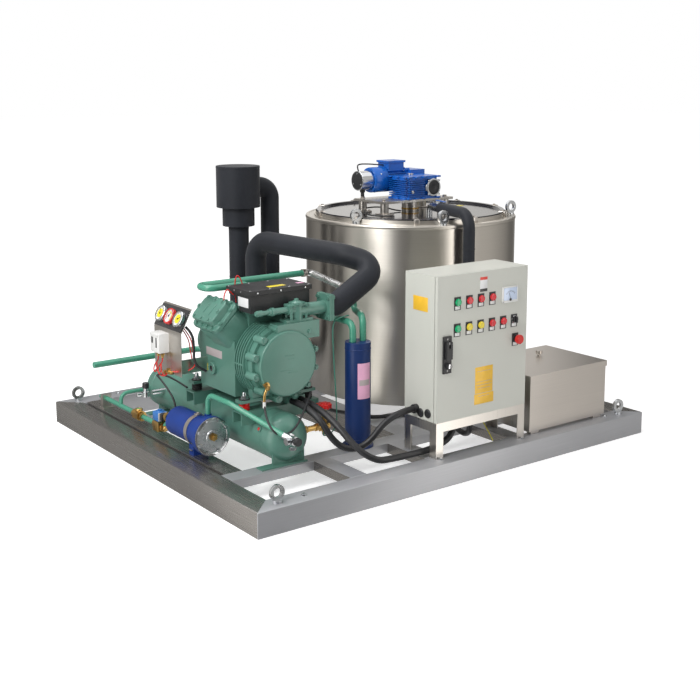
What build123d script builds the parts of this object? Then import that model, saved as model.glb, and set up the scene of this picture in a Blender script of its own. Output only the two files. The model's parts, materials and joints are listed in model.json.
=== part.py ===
"""Skid-mounted flake ice machine: drum, compressor set on its receiver, tank and cabinet."""
import os
from math import acos, cos, pi, radians, sin, sqrt, tan

from build123d import *

os.makedirs("parts", exist_ok=True)

# Skid: outer frame, with its origin at the middle of the underside
skid_length = 2100
skid_width = 1800
beam_size = 100
beam_wall = 3
inner_width = 80
inner_depth = 40
cross_y = 345
rear_cross_y = 1300
inner_left_x = 117
short_beam_xs = (486, 866, 1330)

# Drum: insulated evaporator with its drive on top
drum_x = 1570
drum_y = 1053
drum_radius = 515
drum_base_z = 125
drum_top_z = 963
jacket_wall = 70
evaporator_wall = 12
evaporator_bottom = 205
drum_seat = 18
drum_beam_offset = 410
port_x = 1090
port_y = 1300
port_z = 300
port_radius = 55

# Control cabinet on its stand
cabinet_x = 889
cabinet_y = 61
cabinet_z = 250
cabinet_width = 500
cabinet_height = 600
cabinet_depth = 200
cabinet_sheet = 2
door_depth = 15
door_gap = 3

# Water tank, beside the cabinet
tank_gap = 33
tank_x = cabinet_x + cabinet_width + tank_gap
tank_y = 60
tank_length = 490
tank_width = 379
tank_top_z = 362
tank_foot = 12
tank_sheet = 3

# Receiver and the compressor over it
receiver_x = 388
receiver_z = 203
receiver_radius = 97
receiver_front_y = 340
receiver_rear_y = 1472
compressor_x = 427
compressor_z = 495
foot_front_y = 528
foot_rear_y = 912
foot_spread = 305
foot_z = 340
foot_plate = 12
rail_top_z = 308

left = -skid_length / 2
front = -skid_width / 2
beam_top = beam_size
low_corner = (Align.MIN, Align.MIN, Align.MIN)
up = (0, 0, 1)
to_right = (1, 0, 0)
to_left = (-1, 0, 0)
to_back = (0, 1, 0)
to_front = (0, -1, 0)


def at(x, y, z=0.0):
    """A place measured from the skid's left front corner, in the model's own frame."""
    return (left + x, front + y, z)


def write(shape, name):
    """Label one finished piece and write it as its own file."""
    shape.label = name
    export_step(shape, f"parts/{name}.step")


def group(solids):
    """Separate solids that share one node."""
    return Compound(children=list(solids))


def block(corner, size):
    """A plain block from its low corner."""
    with BuildPart() as piece:
        with Locations(corner):
            Box(*size, align=low_corner)
    return piece.part


def hollow_beam(corner, size, wall, along):
    """A straight rectangular tube, open at both ends, running along x (0) or y (1)."""
    inset = [0 if axis == along else wall for axis in range(3)]
    with BuildPart() as beam:
        with Locations(corner):
            Box(*size, align=low_corner)
        with Locations(tuple(c + i for c, i in zip(corner, inset))):
            Box(*[s - 2 * i for s, i in zip(size, inset)], align=low_corner, mode=Mode.SUBTRACT)
    return beam.part


def turned(origin, axis, steps, bore=0.0):
    """A stepped round piece: each step is (start, end, radius) along the axis."""
    base = Plane(origin=origin, z_dir=axis)
    with BuildPart() as piece:
        for start, end, radius in steps:
            with BuildSketch(base.offset(start)):
                Circle(radius)
            extrude(amount=end - start)
        if bore:
            with BuildSketch(base.offset(steps[0][0])):
                Circle(bore)
            extrude(amount=steps[-1][1] - steps[0][0], mode=Mode.SUBTRACT)
    return piece.part


def pipe(points, radius, bends):
    """A round pipe along straight runs joined by bends of the given radii."""
    with BuildPart() as run:
        with BuildLine() as route:
            FilletPolyline(*points, radius=bends)
        with BuildSketch(Plane(origin=route.line @ 0, z_dir=route.line % 0)):
            Circle(radius)
        sweep(path=route.line)
    return run.part


# Skid frame: four mitred square tubes, and the lighter members let in between them
def mitred_beam(origin, along, length):
    """One side of the outer frame, its ends cut at 45 degrees."""
    floor = Plane(origin=origin, x_dir=along, z_dir=up)
    with BuildPart() as beam:
        for inset, mode in ((0, Mode.ADD), (beam_wall, Mode.SUBTRACT)):
            far = beam_size - inset
            with BuildSketch(floor.offset(inset)):
                with BuildLine():
                    Polyline(
                        (inset, inset), (length - inset, inset), (length - far, far), (far, far), close=True
                    )
                make_face()
            extrude(amount=beam_size - 2 * inset, mode=mode)
    return beam.part


outer_beams = [
    mitred_beam(at(0, 0), (1, 0, 0), skid_length),
    mitred_beam(at(skid_length, 0), (0, 1, 0), skid_width),
    mitred_beam(at(skid_length, skid_width), (-1, 0, 0), skid_length),
    mitred_beam(at(0, skid_width), (0, -1, 0), skid_width),
]
write(group(outer_beams), "skid_frame")

drum_beam_x = drum_x - drum_radius + drum_seat - beam_size
drum_beam_y = drum_y - drum_beam_offset - beam_size / 2
inner_z = beam_top - inner_depth
inner_far_x = skid_length - beam_size
inner_far_y = skid_width - beam_size
cross_back_y = cross_y + inner_width
inner_right_x = inner_left_x + inner_width
drum_beam_right = drum_beam_x + beam_size
cross_tube = (inner_far_x - beam_size, inner_width, inner_depth)
side_tube = (inner_width, inner_far_y - cross_back_y, inner_depth)
short_tube = (inner_width, cross_y - beam_size, inner_depth)
deep_tube = (inner_far_x - drum_beam_right, beam_size, beam_size)
inner_members = [
    hollow_beam(at(beam_size, cross_y, inner_z), cross_tube, beam_wall, 0),
    hollow_beam(at(inner_left_x, cross_back_y, inner_z), side_tube, beam_wall, 1),
    hollow_beam(
        at(inner_right_x, rear_cross_y, inner_z),
        (drum_beam_x - inner_right_x, inner_width, inner_depth),
        beam_wall,
        0,
    ),
    hollow_beam(at(drum_beam_x, cross_back_y), (beam_size, side_tube[1], beam_size), beam_wall, 1),
]
for beam_y in (drum_beam_y, drum_beam_y + 2 * drum_beam_offset):
    inner_members.append(hollow_beam(at(drum_beam_right, beam_y), deep_tube, beam_wall, 0))
for beam_x in short_beam_xs:
    inner_members.append(hollow_beam(at(beam_x, beam_size, inner_z), short_tube, beam_wall, 1))
write(group(inner_members), "skid_cross_members")

# Lifting eyes: four on the skid and three on the drum's rim
eye_ring = 31
eye_hole = 17
eye_thickness = 13
eye_collar = 17
eye_neck = 10
eye_inset = 50
eye_side_inset = 115
eye_rear_inset = 95
eye_overlap = 3
rim_eye_angles = (200, 248, 318)
rim_eye_radius = drum_radius - 22


def lifting_eye(foot):
    """A cast eye bolt: collar, neck and a flat-sided ring."""
    ring_plane = Plane(
        origin=(foot[0], foot[1] + eye_thickness / 2, foot[2] + eye_neck + eye_ring - eye_overlap),
        z_dir=to_front,
    )
    with BuildPart() as eye:
        with BuildSketch(Plane(origin=foot, z_dir=up)):
            Circle(eye_collar)
        extrude(amount=eye_neck)
        with BuildSketch(ring_plane):
            Circle(eye_ring)
        extrude(amount=eye_thickness)
        with BuildSketch(ring_plane):
            Circle(eye_hole)
        extrude(amount=eye_thickness, mode=Mode.SUBTRACT)
    return eye.part


eye_feet = [
    at(eye_side_inset, eye_inset, beam_top),
    at(skid_length - eye_side_inset, eye_inset, beam_top),
    at(eye_rear_inset, skid_width - eye_inset, beam_top),
    at(skid_length - eye_side_inset, skid_width - eye_inset, beam_top),
]
for angle in rim_eye_angles:
    eye_feet.append(
        at(
            drum_x + rim_eye_radius * cos(radians(angle)),
            drum_y + rim_eye_radius * sin(radians(angle)),
            drum_top_z,
        )
    )
write(group(lifting_eye(foot) for foot in eye_feet), "lifting_eyes")

# Drum: foamed stainless jacket on four pads, with the evaporator wall inside it
evaporator_outer = drum_radius - jacket_wall
evaporator_bore = evaporator_outer - evaporator_wall
drum_axis = at(drum_x, drum_y)
roof_thickness = 20
roof_lip = 12
roof_opening = evaporator_bore - roof_lip
pad_radius = 28
pad_circle = drum_radius - jacket_wall / 2
pad_x = sqrt(pad_circle**2 - drum_beam_offset**2)
port_depth = sqrt((drum_radius - 4) ** 2 - (port_y + port_radius - drum_y) ** 2)
port_length = drum_x - port_depth - port_x

with BuildPart() as drum_jacket:
    with BuildSketch(Plane(origin=at(drum_x, drum_y, drum_base_z), z_dir=up)):
        Circle(drum_radius)
        Circle(evaporator_outer, mode=Mode.SUBTRACT)
    extrude(amount=drum_top_z - drum_base_z)
    with BuildSketch(Plane(origin=at(drum_x, drum_y, drum_top_z - roof_thickness), z_dir=up)):
        Circle(evaporator_outer)
        Circle(roof_opening, mode=Mode.SUBTRACT)
    extrude(amount=roof_thickness)
    for side in (-1, 1):
        for end in (-1, 1):
            pad_place = at(drum_x + side * pad_x, drum_y + end * drum_beam_offset, beam_top)
            with BuildSketch(Plane(origin=pad_place, z_dir=up)):
                Circle(pad_radius)
            extrude(amount=drum_base_z - beam_top)
    with BuildSketch(Plane(origin=at(port_x, port_y, port_z), z_dir=to_right)):
        Circle(port_radius)
    extrude(amount=port_length)
write(drum_jacket.part, "drum_jacket")

evaporator_top = drum_top_z - roof_thickness
with BuildPart() as evaporator_drum:
    with BuildSketch(Plane(origin=at(drum_x, drum_y, evaporator_bottom), z_dir=up)):
        Circle(evaporator_outer)
        Circle(evaporator_bore, mode=Mode.SUBTRACT)
    extrude(amount=evaporator_top - evaporator_bottom)
write(evaporator_drum.part, "evaporator_drum")

# Drum cover: black insulated disc inside a raised stainless ring
cover_ring_outer = 462
cover_ring_inner = 440
cover_ring_height = 25
cover_thickness = 15
shaft_hole = 45
cover_top = drum_top_z + cover_thickness
with BuildPart() as drum_cover:
    with BuildSketch(Plane(origin=at(drum_x, drum_y, drum_top_z), z_dir=up)):
        Circle(cover_ring_outer)
        Circle(shaft_hole, mode=Mode.SUBTRACT)
    extrude(amount=cover_thickness)
    with BuildSketch(Plane(origin=at(drum_x, drum_y, cover_top), z_dir=up)):
        Circle(cover_ring_outer)
        Circle(cover_ring_inner, mode=Mode.SUBTRACT)
    extrude(amount=cover_ring_height - cover_thickness)
write(drum_cover.part, "drum_cover")

# Drive bridge: a plate on four posts, with the upper bearing under it
bridge_length = 440
bridge_width = 230
bridge_top_z = 1045
bridge_plate = 12
bridge_shift = -40
post_radius = 20
post_inset = 30
bearing_radius = 42
shaft_radius = 28
running_gap = 0.05
bridge_x = drum_x + bridge_shift
bridge_under = bridge_top_z - bridge_plate
with BuildPart() as drive_bridge:
    with BuildSketch(Plane(origin=at(bridge_x, drum_y, bridge_under), z_dir=up)):
        Rectangle(bridge_length, bridge_width)
    extrude(amount=bridge_plate)
    with BuildSketch(Plane(origin=at(bridge_x, drum_y, cover_top), z_dir=up)):
        with GridLocations(bridge_length - 2 * post_inset, bridge_width - 2 * post_inset, 2, 2):
            Circle(post_radius)
    extrude(amount=bridge_under - cover_top)
    with BuildSketch(Plane(origin=at(drum_x, drum_y, cover_top), z_dir=up)):
        Circle(bearing_radius)
    extrude(amount=bridge_under - cover_top)
    with BuildSketch(Plane(origin=at(drum_x, drum_y, cover_top), z_dir=up)):
        Circle(shaft_radius + running_gap)
    extrude(amount=bridge_top_z - cover_top, mode=Mode.SUBTRACT)
write(drive_bridge.part, "drive_bridge")

# Drum bottom: four arms that carry the foot bearing, over the ring gutter that catches water
spider_z = 178
spider_height = 27
spider_arm = 26
hub_radius = 55
foot_bore = 20
with BuildPart() as spider:
    with BuildSketch(Plane(origin=at(drum_x, drum_y, spider_z), z_dir=up)):
        Rectangle(2 * evaporator_outer, spider_arm)
        Rectangle(spider_arm, 2 * evaporator_outer)
        Circle(hub_radius)
        Circle(evaporator_outer, mode=Mode.INTERSECT)
        Circle(foot_bore + running_gap, mode=Mode.SUBTRACT)
    extrude(amount=spider_height)
gutter_width = 48
gutter_inner = evaporator_bore - gutter_width
gutter_depth = 34
gutter_sheet = 3
gutter_z = spider_z - gutter_depth
gutter_plane = Plane(origin=at(drum_x, drum_y, gutter_z), x_dir=to_right, z_dir=to_front)
with BuildPart() as drum_bottom:
    add(spider.part)
    with BuildSketch(gutter_plane):
        with Locations((gutter_inner, 0)):
            Rectangle(evaporator_outer - gutter_inner, gutter_depth, align=(Align.MIN, Align.MIN))
        with Locations((gutter_inner + gutter_sheet, gutter_sheet)):
            Rectangle(
                evaporator_outer - gutter_inner - 2 * gutter_sheet,
                gutter_depth,
                align=(Align.MIN, Align.MIN),
                mode=Mode.SUBTRACT,
            )
    revolve(axis=Axis(drum_axis, up))
write(drum_bottom.part, "drum_bottom")

# Main shaft with the two arms that carry the ice cutter
cutter_radius = 46
cutter_gap = 3
cutter_orbit = evaporator_bore - cutter_gap - cutter_radius
cutter_low = 268
cutter_high = 858
pin_radius = 12
end_play = 1
arm_height = 24
arm_width = 44
shaft_bottom = spider_z + 4
shaft_top = 6
gear_bore = 15
cutter_angle = 235
cutter_side = (cos(radians(cutter_angle)), sin(radians(cutter_angle)), 0)
pan_radius = 150
pan_z = 892
pan_height = 34


def shaft_arm(height):
    """A radial arm from the shaft out to the cutter's axis."""
    arm_plane = Plane(origin=at(drum_x, drum_y, height), x_dir=cutter_side, z_dir=up)
    with BuildPart() as arm:
        with BuildSketch(arm_plane):
            with Locations((cutter_orbit / 2, 0)):
                Rectangle(cutter_orbit, arm_width)
            with Locations((cutter_orbit, 0)):
                Circle(arm_width / 2)
        extrude(amount=arm_height)
    return arm.part


cutter_foot = at(drum_x + cutter_orbit * cutter_side[0], drum_y + cutter_orbit * cutter_side[1], 0)
gear_top_z = 1155
shaft_steps = (
    (shaft_bottom, spider_z + spider_height, foot_bore),
    (spider_z + spider_height, bridge_top_z, shaft_radius),
    (bridge_top_z, gear_top_z + shaft_top, gear_bore),
)
lower_arm = shaft_arm(cutter_low - end_play - arm_height)
upper_arm = shaft_arm(cutter_high + end_play)
shaft_core = turned(drum_axis, up, shaft_steps)
cutter_pin = turned(cutter_foot, up, ((cutter_low - end_play, cutter_high + end_play, pin_radius),))
with BuildPart() as main_shaft:
    add(shaft_core)
    add(lower_arm)
    add(upper_arm)
    add(cutter_pin)
write(main_shaft.part, "main_shaft")

# Ice cutter: a roller whose teeth twist along its length, free to turn on its pin
tooth_count = 10
tooth_depth = 9
twist_step = 18
twist_sections = 11
tooth_lead = 10


def cutter_profile(turn):
    """The toothed outline, turned by an angle."""
    points = []
    for tooth in range(tooth_count):
        base = turn + tooth * 360 / tooth_count
        for reach, lead in ((cutter_radius, 0), (cutter_radius - tooth_depth, tooth_lead)):
            points.append((reach * cos(radians(base + lead)), reach * sin(radians(base + lead))))
    return points


with BuildPart() as ice_cutter:
    for section in range(twist_sections):
        rise = cutter_low + section * (cutter_high - cutter_low) / (twist_sections - 1)
        with BuildSketch(Plane(origin=(cutter_foot[0], cutter_foot[1], rise), z_dir=up)):
            Polygon(*cutter_profile(section * twist_step), align=None)
    loft(ruled=True)
    with BuildSketch(Plane(origin=(cutter_foot[0], cutter_foot[1], cutter_low), z_dir=up)):
        Circle(pin_radius + running_gap)
    extrude(amount=cutter_high - cutter_low, mode=Mode.SUBTRACT)
write(ice_cutter.part, "ice_cutter")

# Sprinkler pan: turns with the shaft and throws water at the wall through its spouts
spout_radius = 9
spout_count = 6
spout_gap = 60
spout_lead = 30
spout_reach = evaporator_bore - spout_gap
pan_wall = 3
with BuildPart() as sprinkler_pan:
    with BuildSketch(Plane(origin=at(drum_x, drum_y, pan_z), z_dir=up)):
        Circle(pan_radius)
    extrude(amount=pan_height)
    for spout in range(spout_count):
        turn = radians(cutter_angle + spout_lead + spout * 360 / spout_count)
        spout_side = (cos(turn), sin(turn), 0)
        with BuildSketch(Plane(origin=at(drum_x, drum_y, pan_z + pan_height / 2), z_dir=spout_side)):
            Circle(spout_radius)
        extrude(amount=spout_reach)
    with BuildSketch(Plane(origin=at(drum_x, drum_y, pan_z + pan_wall), z_dir=up)):
        Circle(pan_radius - pan_wall)
    extrude(amount=pan_height, mode=Mode.SUBTRACT)
    with BuildSketch(Plane(origin=at(drum_x, drum_y, pan_z), z_dir=up)):
        Circle(shaft_radius)
    extrude(amount=pan_height, mode=Mode.SUBTRACT)
write(sprinkler_pan.part, "sprinkler_pan")

# Worm gearbox: finned main case with a first stage behind it
gear_x = 1462
gear_y = 945
gear_length = 200
gear_depth = 140
gear_flange = 16
gear_inset = 10
gear_fin = 5
gear_fin_count = 6
stage_x = 1590
stage_length = 90
stage_depth = 110
stage_z = 1086
stage_height = 90
cover_hub_x = 1625
cover_hub_z = 1098
cover_hub_radius = 42
gear_round = 26
case_round = 34
hub_out = 3
hub_depth = 30
gear_height = gear_top_z - bridge_top_z
case_z = bridge_top_z + gear_flange
fin_zone = gear_height - 2 * gear_flange
fin_pitch = fin_zone / gear_fin_count
fin_length = gear_length * 0.62
fin_width = gear_depth - 4
fin_x = gear_x + gear_length * 0.36
gear_middle_y = gear_y + gear_depth / 2
gear_middle = at(gear_x + gear_length / 2, gear_middle_y)
with BuildPart() as gearbox:
    for level in (bridge_top_z, gear_top_z - gear_flange):
        with BuildSketch(Plane(origin=(gear_middle[0], gear_middle[1], level), z_dir=up)):
            RectangleRounded(gear_length, gear_depth, gear_round)
        extrude(amount=gear_flange)
    with BuildSketch(Plane(origin=(gear_middle[0], gear_middle[1], case_z), z_dir=up)):
        RectangleRounded(gear_length - 2 * gear_inset, gear_depth - 2 * gear_inset, case_round)
    extrude(amount=fin_zone)
    for fin in range(gear_fin_count):
        fin_z = case_z + (fin + 0.5) * fin_pitch - gear_fin / 2
        with BuildSketch(Plane(origin=at(fin_x, gear_middle_y, fin_z), z_dir=up)):
            RectangleRounded(fin_length, fin_width, gear_round)
        extrude(amount=gear_fin)
    with BuildSketch(Plane(origin=at(cover_hub_x, gear_y - hub_out, cover_hub_z), z_dir=to_back)):
        Circle(cover_hub_radius)
    extrude(amount=hub_depth)
    with Locations(at(stage_x, gear_y + gear_depth - gear_inset, stage_z)):
        Box(stage_length, stage_depth + gear_inset, stage_height, align=low_corner)
    with BuildSketch(Plane(origin=at(drum_x, drum_y, bridge_top_z), z_dir=up)):
        Circle(gear_bore + running_gap)
    extrude(amount=gear_height, mode=Mode.SUBTRACT)
write(gearbox.part, "gearbox")

# Drive motor: finned stator, terminal box, fan cover, and the bright sensor cap on its tail
motor_y = 1147
motor_z = 1131
motor_flange = 12
stator_length = 112
stator_radius = 50
fin_radius = 57
motor_fin_count = 14
fan_cover_length = 82
fan_cover_radius = 60
cap_length = 66
cap_radius = 47
cap_gap = 6
cap_step = 6
motor_face = at(stage_x, motor_y, motor_z)
fan_start = motor_flange + stator_length
fan_end = fan_start + fan_cover_length
fin_thickness = 4
motor_box = (96, 84, 46)
motor_box_z = 44
motor_box_lid = (108, 96, 10)
motor_box_top = 82

# Motor rotor: its shaft runs through the end of the stator, with the cooling fan on it
rotor_radius = 30
rotor_shaft = 9
motor_air_gap = 0.5
rotor_start = 20
rotor_end = 100
fan_disc = 46
fan_clearance = 3
fan_length = 22
fan_place = fan_start + 30
rotor_play = 2
fan_wall = 12
fan_guard = 8
cavity_steps = (
    (rotor_start - rotor_play, rotor_end + rotor_play, rotor_radius + motor_air_gap),
    (rotor_end + rotor_play, fan_start + fan_wall, rotor_shaft + running_gap),
    (fan_start + fan_wall, fan_end - fan_guard, fan_disc + fan_clearance),
)
motor_cavity = turned(motor_face, to_left, cavity_steps)
stator_fins = Plane(origin=motor_face, x_dir=to_back, z_dir=to_left).offset(motor_flange)
with BuildPart() as drive_motor:
    with BuildSketch(Plane(origin=motor_face, z_dir=to_left)):
        Circle(fan_cover_radius)
    extrude(amount=motor_flange)
    with BuildSketch(stator_fins):
        Circle(stator_radius)
        with PolarLocations(stator_radius, motor_fin_count):
            Rectangle(2 * (fin_radius - stator_radius), fin_thickness)
    extrude(amount=stator_length)
    with BuildSketch(Plane(origin=motor_face, z_dir=to_left).offset(fan_start)):
        Circle(fan_cover_radius)
    extrude(amount=fan_cover_length)
    for size, rise in ((motor_box, motor_box_z), (motor_box_lid, motor_box_top)):
        with Locations(at(stage_x - motor_flange - stator_length / 2, motor_y, motor_z + rise)):
            Box(*size, align=(Align.CENTER, Align.CENTER, Align.MIN))
    add(motor_cavity, mode=Mode.SUBTRACT)
write(drive_motor.part, "drive_motor")

rotor_steps = (
    (rotor_start, rotor_end, rotor_radius),
    (rotor_end, fan_place, rotor_shaft),
    (fan_place, fan_place + fan_length, fan_disc),
)
write(turned(motor_face, to_left, rotor_steps), "motor_rotor")

sensor_steps = ((0, cap_gap, cap_radius - cap_step), (cap_gap, cap_gap + cap_length, cap_radius))
sensor_foot = (motor_face[0] - fan_end, motor_face[1], motor_face[2])
write(turned(sensor_foot, to_left, sensor_steps), "sensor_cap")

# Water valve: an elbow out of the cover and a ball valve, then the insulated pipe to the pump
inlet_x = 1560
inlet_y = 895
water_z = 1017
water_front_x = tank_x + 35
water_front_y = 500
fitting_radius = 14
valve_start = 55
valve_length = 66
valve_radius = 23
insulation_radius = 27
pump_top_z = 262
water_run = sqrt((inlet_x - water_front_x) ** 2 + (inlet_y - water_front_y) ** 2)
water_side = ((water_front_x - inlet_x) / water_run, (water_front_y - inlet_y) / water_run, 0)


def along_water(distance):
    """A place on the straight water run, at a distance from the inlet elbow."""
    return at(inlet_x + water_side[0] * distance, inlet_y + water_side[1] * distance, water_z)


valve_end = valve_start + valve_length
valve_stem = 11
stem_rise = 8
elbow_bend = 22
inlet_foot = at(inlet_x, inlet_y, cover_top)
inlet_elbow = pipe(
    [inlet_foot, at(inlet_x, inlet_y, water_z), along_water(valve_start)], fitting_radius, elbow_bend
)
lever_pivot = along_water(valve_start + valve_length / 2)
with BuildPart() as water_valve:
    add(inlet_elbow)
    add(turned(along_water(valve_start), water_side, ((0, valve_length, valve_radius),)))
    with BuildSketch(Plane(origin=lever_pivot, z_dir=up)):
        Circle(valve_stem)
    extrude(amount=valve_radius + stem_rise)
write(water_valve.part, "water_valve")

lever_z = water_z + valve_radius + stem_rise
lever_length = 78
lever_width = 14
lever_thickness = 4
lever_plane = Plane(origin=(lever_pivot[0], lever_pivot[1], lever_z), x_dir=water_side, z_dir=up)
with BuildPart() as water_valve_lever:
    with BuildSketch(lever_plane):
        Circle(valve_stem)
        with Locations((lever_length / 2, 0)):
            Rectangle(lever_length, lever_width)
    extrude(amount=lever_thickness)
write(water_valve_lever.part, "water_valve_lever")

water_route = [
    along_water(valve_end),
    at(water_front_x, water_front_y, water_z),
    at(water_front_x, water_front_y, pump_top_z),
]
water_bend = 70
write(pipe(water_route, insulation_radius, water_bend), "water_pipe")

# Tank: open sheet box on four feet, its loose lid, float valve and circulating pump
tank_inset = 4
tank_rim_z = tank_top_z - tank_sheet
lid_skirt = 26
tank_floor_z = beam_top + tank_foot
tank_body = (tank_length - 2 * tank_inset, tank_width - 2 * tank_inset, tank_rim_z - tank_floor_z)
tank_corner = at(tank_x + tank_inset, tank_y + tank_inset, tank_floor_z)
tank_foot_size = (50, 26)
tank_foot_inset = 20
outlet_z = 160
pump_drop_radius = 16
tank_back_y = tank_y + tank_width - tank_inset
with BuildPart() as water_tank:
    with Locations(tank_corner):
        Box(*tank_body, align=low_corner)
    with Locations(tuple(c + tank_sheet for c in tank_corner)):
        Box(*[s - 2 * tank_sheet for s in tank_body[:2]], tank_body[2], align=low_corner, mode=Mode.SUBTRACT)
    for foot_x in (tank_x + tank_foot_inset, tank_x + tank_length - tank_foot_inset - tank_foot_size[0]):
        for foot_y in (tank_y + tank_foot_inset / 2, cross_y + tank_foot_inset):
            with Locations(at(foot_x, foot_y, beam_top)):
                Box(*tank_foot_size, tank_foot, align=low_corner)
write(water_tank.part, "water_tank")

lid_gap = 0.5
knob_x = tank_x + tank_length * 0.63
knob_y = tank_y + tank_width * 0.66
knob_steps = ((0, 10, 7), (10, 24, 15))
lid_inner = (tank_body[0] + 2 * lid_gap, tank_body[1] + 2 * lid_gap, lid_skirt)
with BuildPart() as tank_lid:
    with Locations(at(tank_x, tank_y, tank_top_z - lid_skirt)):
        Box(tank_length, tank_width, lid_skirt, align=low_corner)
    with Locations(at(tank_x + tank_inset - lid_gap, tank_y + tank_inset - lid_gap, tank_rim_z - lid_skirt)):
        Box(*lid_inner, align=low_corner, mode=Mode.SUBTRACT)
    add(turned(at(knob_x, knob_y, tank_top_z), up, knob_steps))
write(tank_lid.part, "tank_lid")

float_y = tank_y + tank_width / 2
float_drop = 60
float_z = tank_rim_z - float_drop
float_pivot_x = tank_x + 90
float_ball = 45
float_reach = 240
float_body = 60
float_block = 30
fork_gap = 0.3
fork_half = 9
fork_wall = 4
fork_length = 38
fork_height = 16
float_pin = 4
float_eye = 9
fork_pin_length = 2 * fork_half + fork_wall
fork_pin_plane = Plane(
    origin=at(float_pivot_x, float_y - fork_pin_length / 2, float_z), z_dir=to_back
)
with BuildPart() as float_valve:
    with Locations(at(tank_x + tank_inset + tank_sheet, float_y, float_z)):
        Box(float_body, float_block, float_block, align=(Align.MIN, Align.CENTER, Align.CENTER))
    for side in (-1, 1):
        with Locations(at(tank_x + float_body, float_y + side * (fork_half + fork_wall / 2), float_z)):
            Box(fork_length, fork_wall, fork_height, align=(Align.MIN, Align.CENTER, Align.CENTER))
    with BuildSketch(fork_pin_plane):
        Circle(float_pin)
    extrude(amount=fork_pin_length)
write(float_valve.part, "float_valve")
arm_half = fork_half - fork_gap
rod_start = float_eye - 2
with BuildPart() as float_arm:
    with BuildSketch(Plane(origin=at(float_pivot_x, float_y - arm_half, float_z), z_dir=to_back)):
        Circle(float_eye)
    extrude(amount=2 * arm_half)
    with BuildSketch(Plane(origin=at(float_pivot_x + rod_start, float_y, float_z), z_dir=to_right)):
        Circle(float_pin)
    extrude(amount=float_reach - float_ball / 2)
    with Locations(at(float_pivot_x + float_reach, float_y, float_z)):
        Sphere(float_ball)
    with BuildSketch(Plane(origin=at(float_pivot_x, float_y - fork_half, float_z), z_dir=to_back)):
        Circle(float_pin + running_gap)
    extrude(amount=2 * fork_half, mode=Mode.SUBTRACT)
write(float_arm.part, "float_arm")

pump_base_z = 196
pump_route = [
    at(water_front_x, water_front_y, pump_base_z),
    at(water_front_x, water_front_y, outlet_z),
    at(water_front_x, tank_back_y, outlet_z),
]
pump_middle_z = (pump_top_z + pump_base_z) / 2
volute_radius = 30
pump_motor_steps = ((0, 34, 28), (34, 62, 32), (62, 160, 42), (160, 172, 36))
pump_drop = pipe(pump_route, pump_drop_radius, elbow_bend)
pump_volute = turned(pump_route[0], up, ((0, pump_top_z - pump_base_z, volute_radius),))
pump_motor = turned(at(water_front_x, water_front_y, pump_middle_z), to_left, pump_motor_steps)
with BuildPart() as water_pump:
    add(pump_drop)
    add(pump_volute)
    add(pump_motor)
write(water_pump.part, "water_pump")

# Receiver: domed vessel with welded saddles, and the two compressor rails across its back
receiver_length = receiver_rear_y - receiver_front_y
dome = 58
rail_left_x = 240
rail_right_x = 615
rail_width = 70
rail_bottom_z = 255
rail_sheet = 6
saddle_width = 150
saddle_ys = (cross_y + inner_width / 2, rear_cross_y + inner_width / 2)
saddle_sheet = 10
saddle_height = 70
saddle_foot = (216, 44, 6)
saddle_shift = -28
liquid_y = 1400
liquid_port_radius = 16
liquid_port_length = 14
valve_inset = 50
valve_rise = 30
valve_boss_radius = 14
valve_boss_length = 60
valve_out = 4
receiver_end = receiver_length - dome
dome_side = dome * cos(pi / 4)
dome_rise = receiver_radius * sin(pi / 4)
valve_port = at(receiver_x - valve_inset, receiver_front_y - valve_out, receiver_z + valve_rise)
shell_plane = Plane(origin=at(receiver_x, receiver_front_y, receiver_z), x_dir=to_back, z_dir=to_right)
with BuildPart() as receiver:
    with BuildSketch(shell_plane):
        with BuildLine():
            ThreePointArc((0, 0), (dome - dome_side, dome_rise), (dome, receiver_radius))
            Line((dome, receiver_radius), (receiver_end, receiver_radius))
            ThreePointArc(
                (receiver_end, receiver_radius), (receiver_end + dome_side, dome_rise), (receiver_length, 0)
            )
            Line((receiver_length, 0), (0, 0))
        make_face()
    revolve(axis=Axis(at(receiver_x, receiver_front_y, receiver_z), to_back))
    for saddle_y in saddle_ys:
        with Locations(at(receiver_x, saddle_y, beam_top)):
            Box(saddle_width, saddle_sheet, saddle_height, align=(Align.CENTER, Align.CENTER, Align.MIN))
        with Locations(at(receiver_x + saddle_shift, saddle_y, beam_top)):
            Box(*saddle_foot, align=(Align.CENTER, Align.CENTER, Align.MIN))
    for rail_y in (foot_front_y, foot_rear_y):
        rail_corner = at(rail_left_x, rail_y - rail_width / 2, rail_bottom_z)
        rail_size = (rail_right_x - rail_left_x, rail_width, rail_top_z - rail_bottom_z)
        with Locations((rail_corner[0], rail_corner[1], rail_top_z - rail_sheet)):
            Box(rail_size[0], rail_width, rail_sheet, align=low_corner)
        for side_y in (rail_corner[1], rail_corner[1] + rail_width - rail_sheet):
            with Locations((rail_corner[0], side_y, rail_bottom_z)):
                Box(rail_size[0], rail_sheet, rail_size[2], align=low_corner)
    with BuildSketch(Plane(origin=at(receiver_x, liquid_y, receiver_z), z_dir=to_left)):
        Circle(liquid_port_radius)
    extrude(amount=receiver_radius + liquid_port_length)
    with BuildSketch(Plane(origin=valve_port, z_dir=to_back)):
        Circle(valve_boss_radius)
    extrude(amount=valve_boss_length)
write(receiver.part, "receiver")

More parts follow.
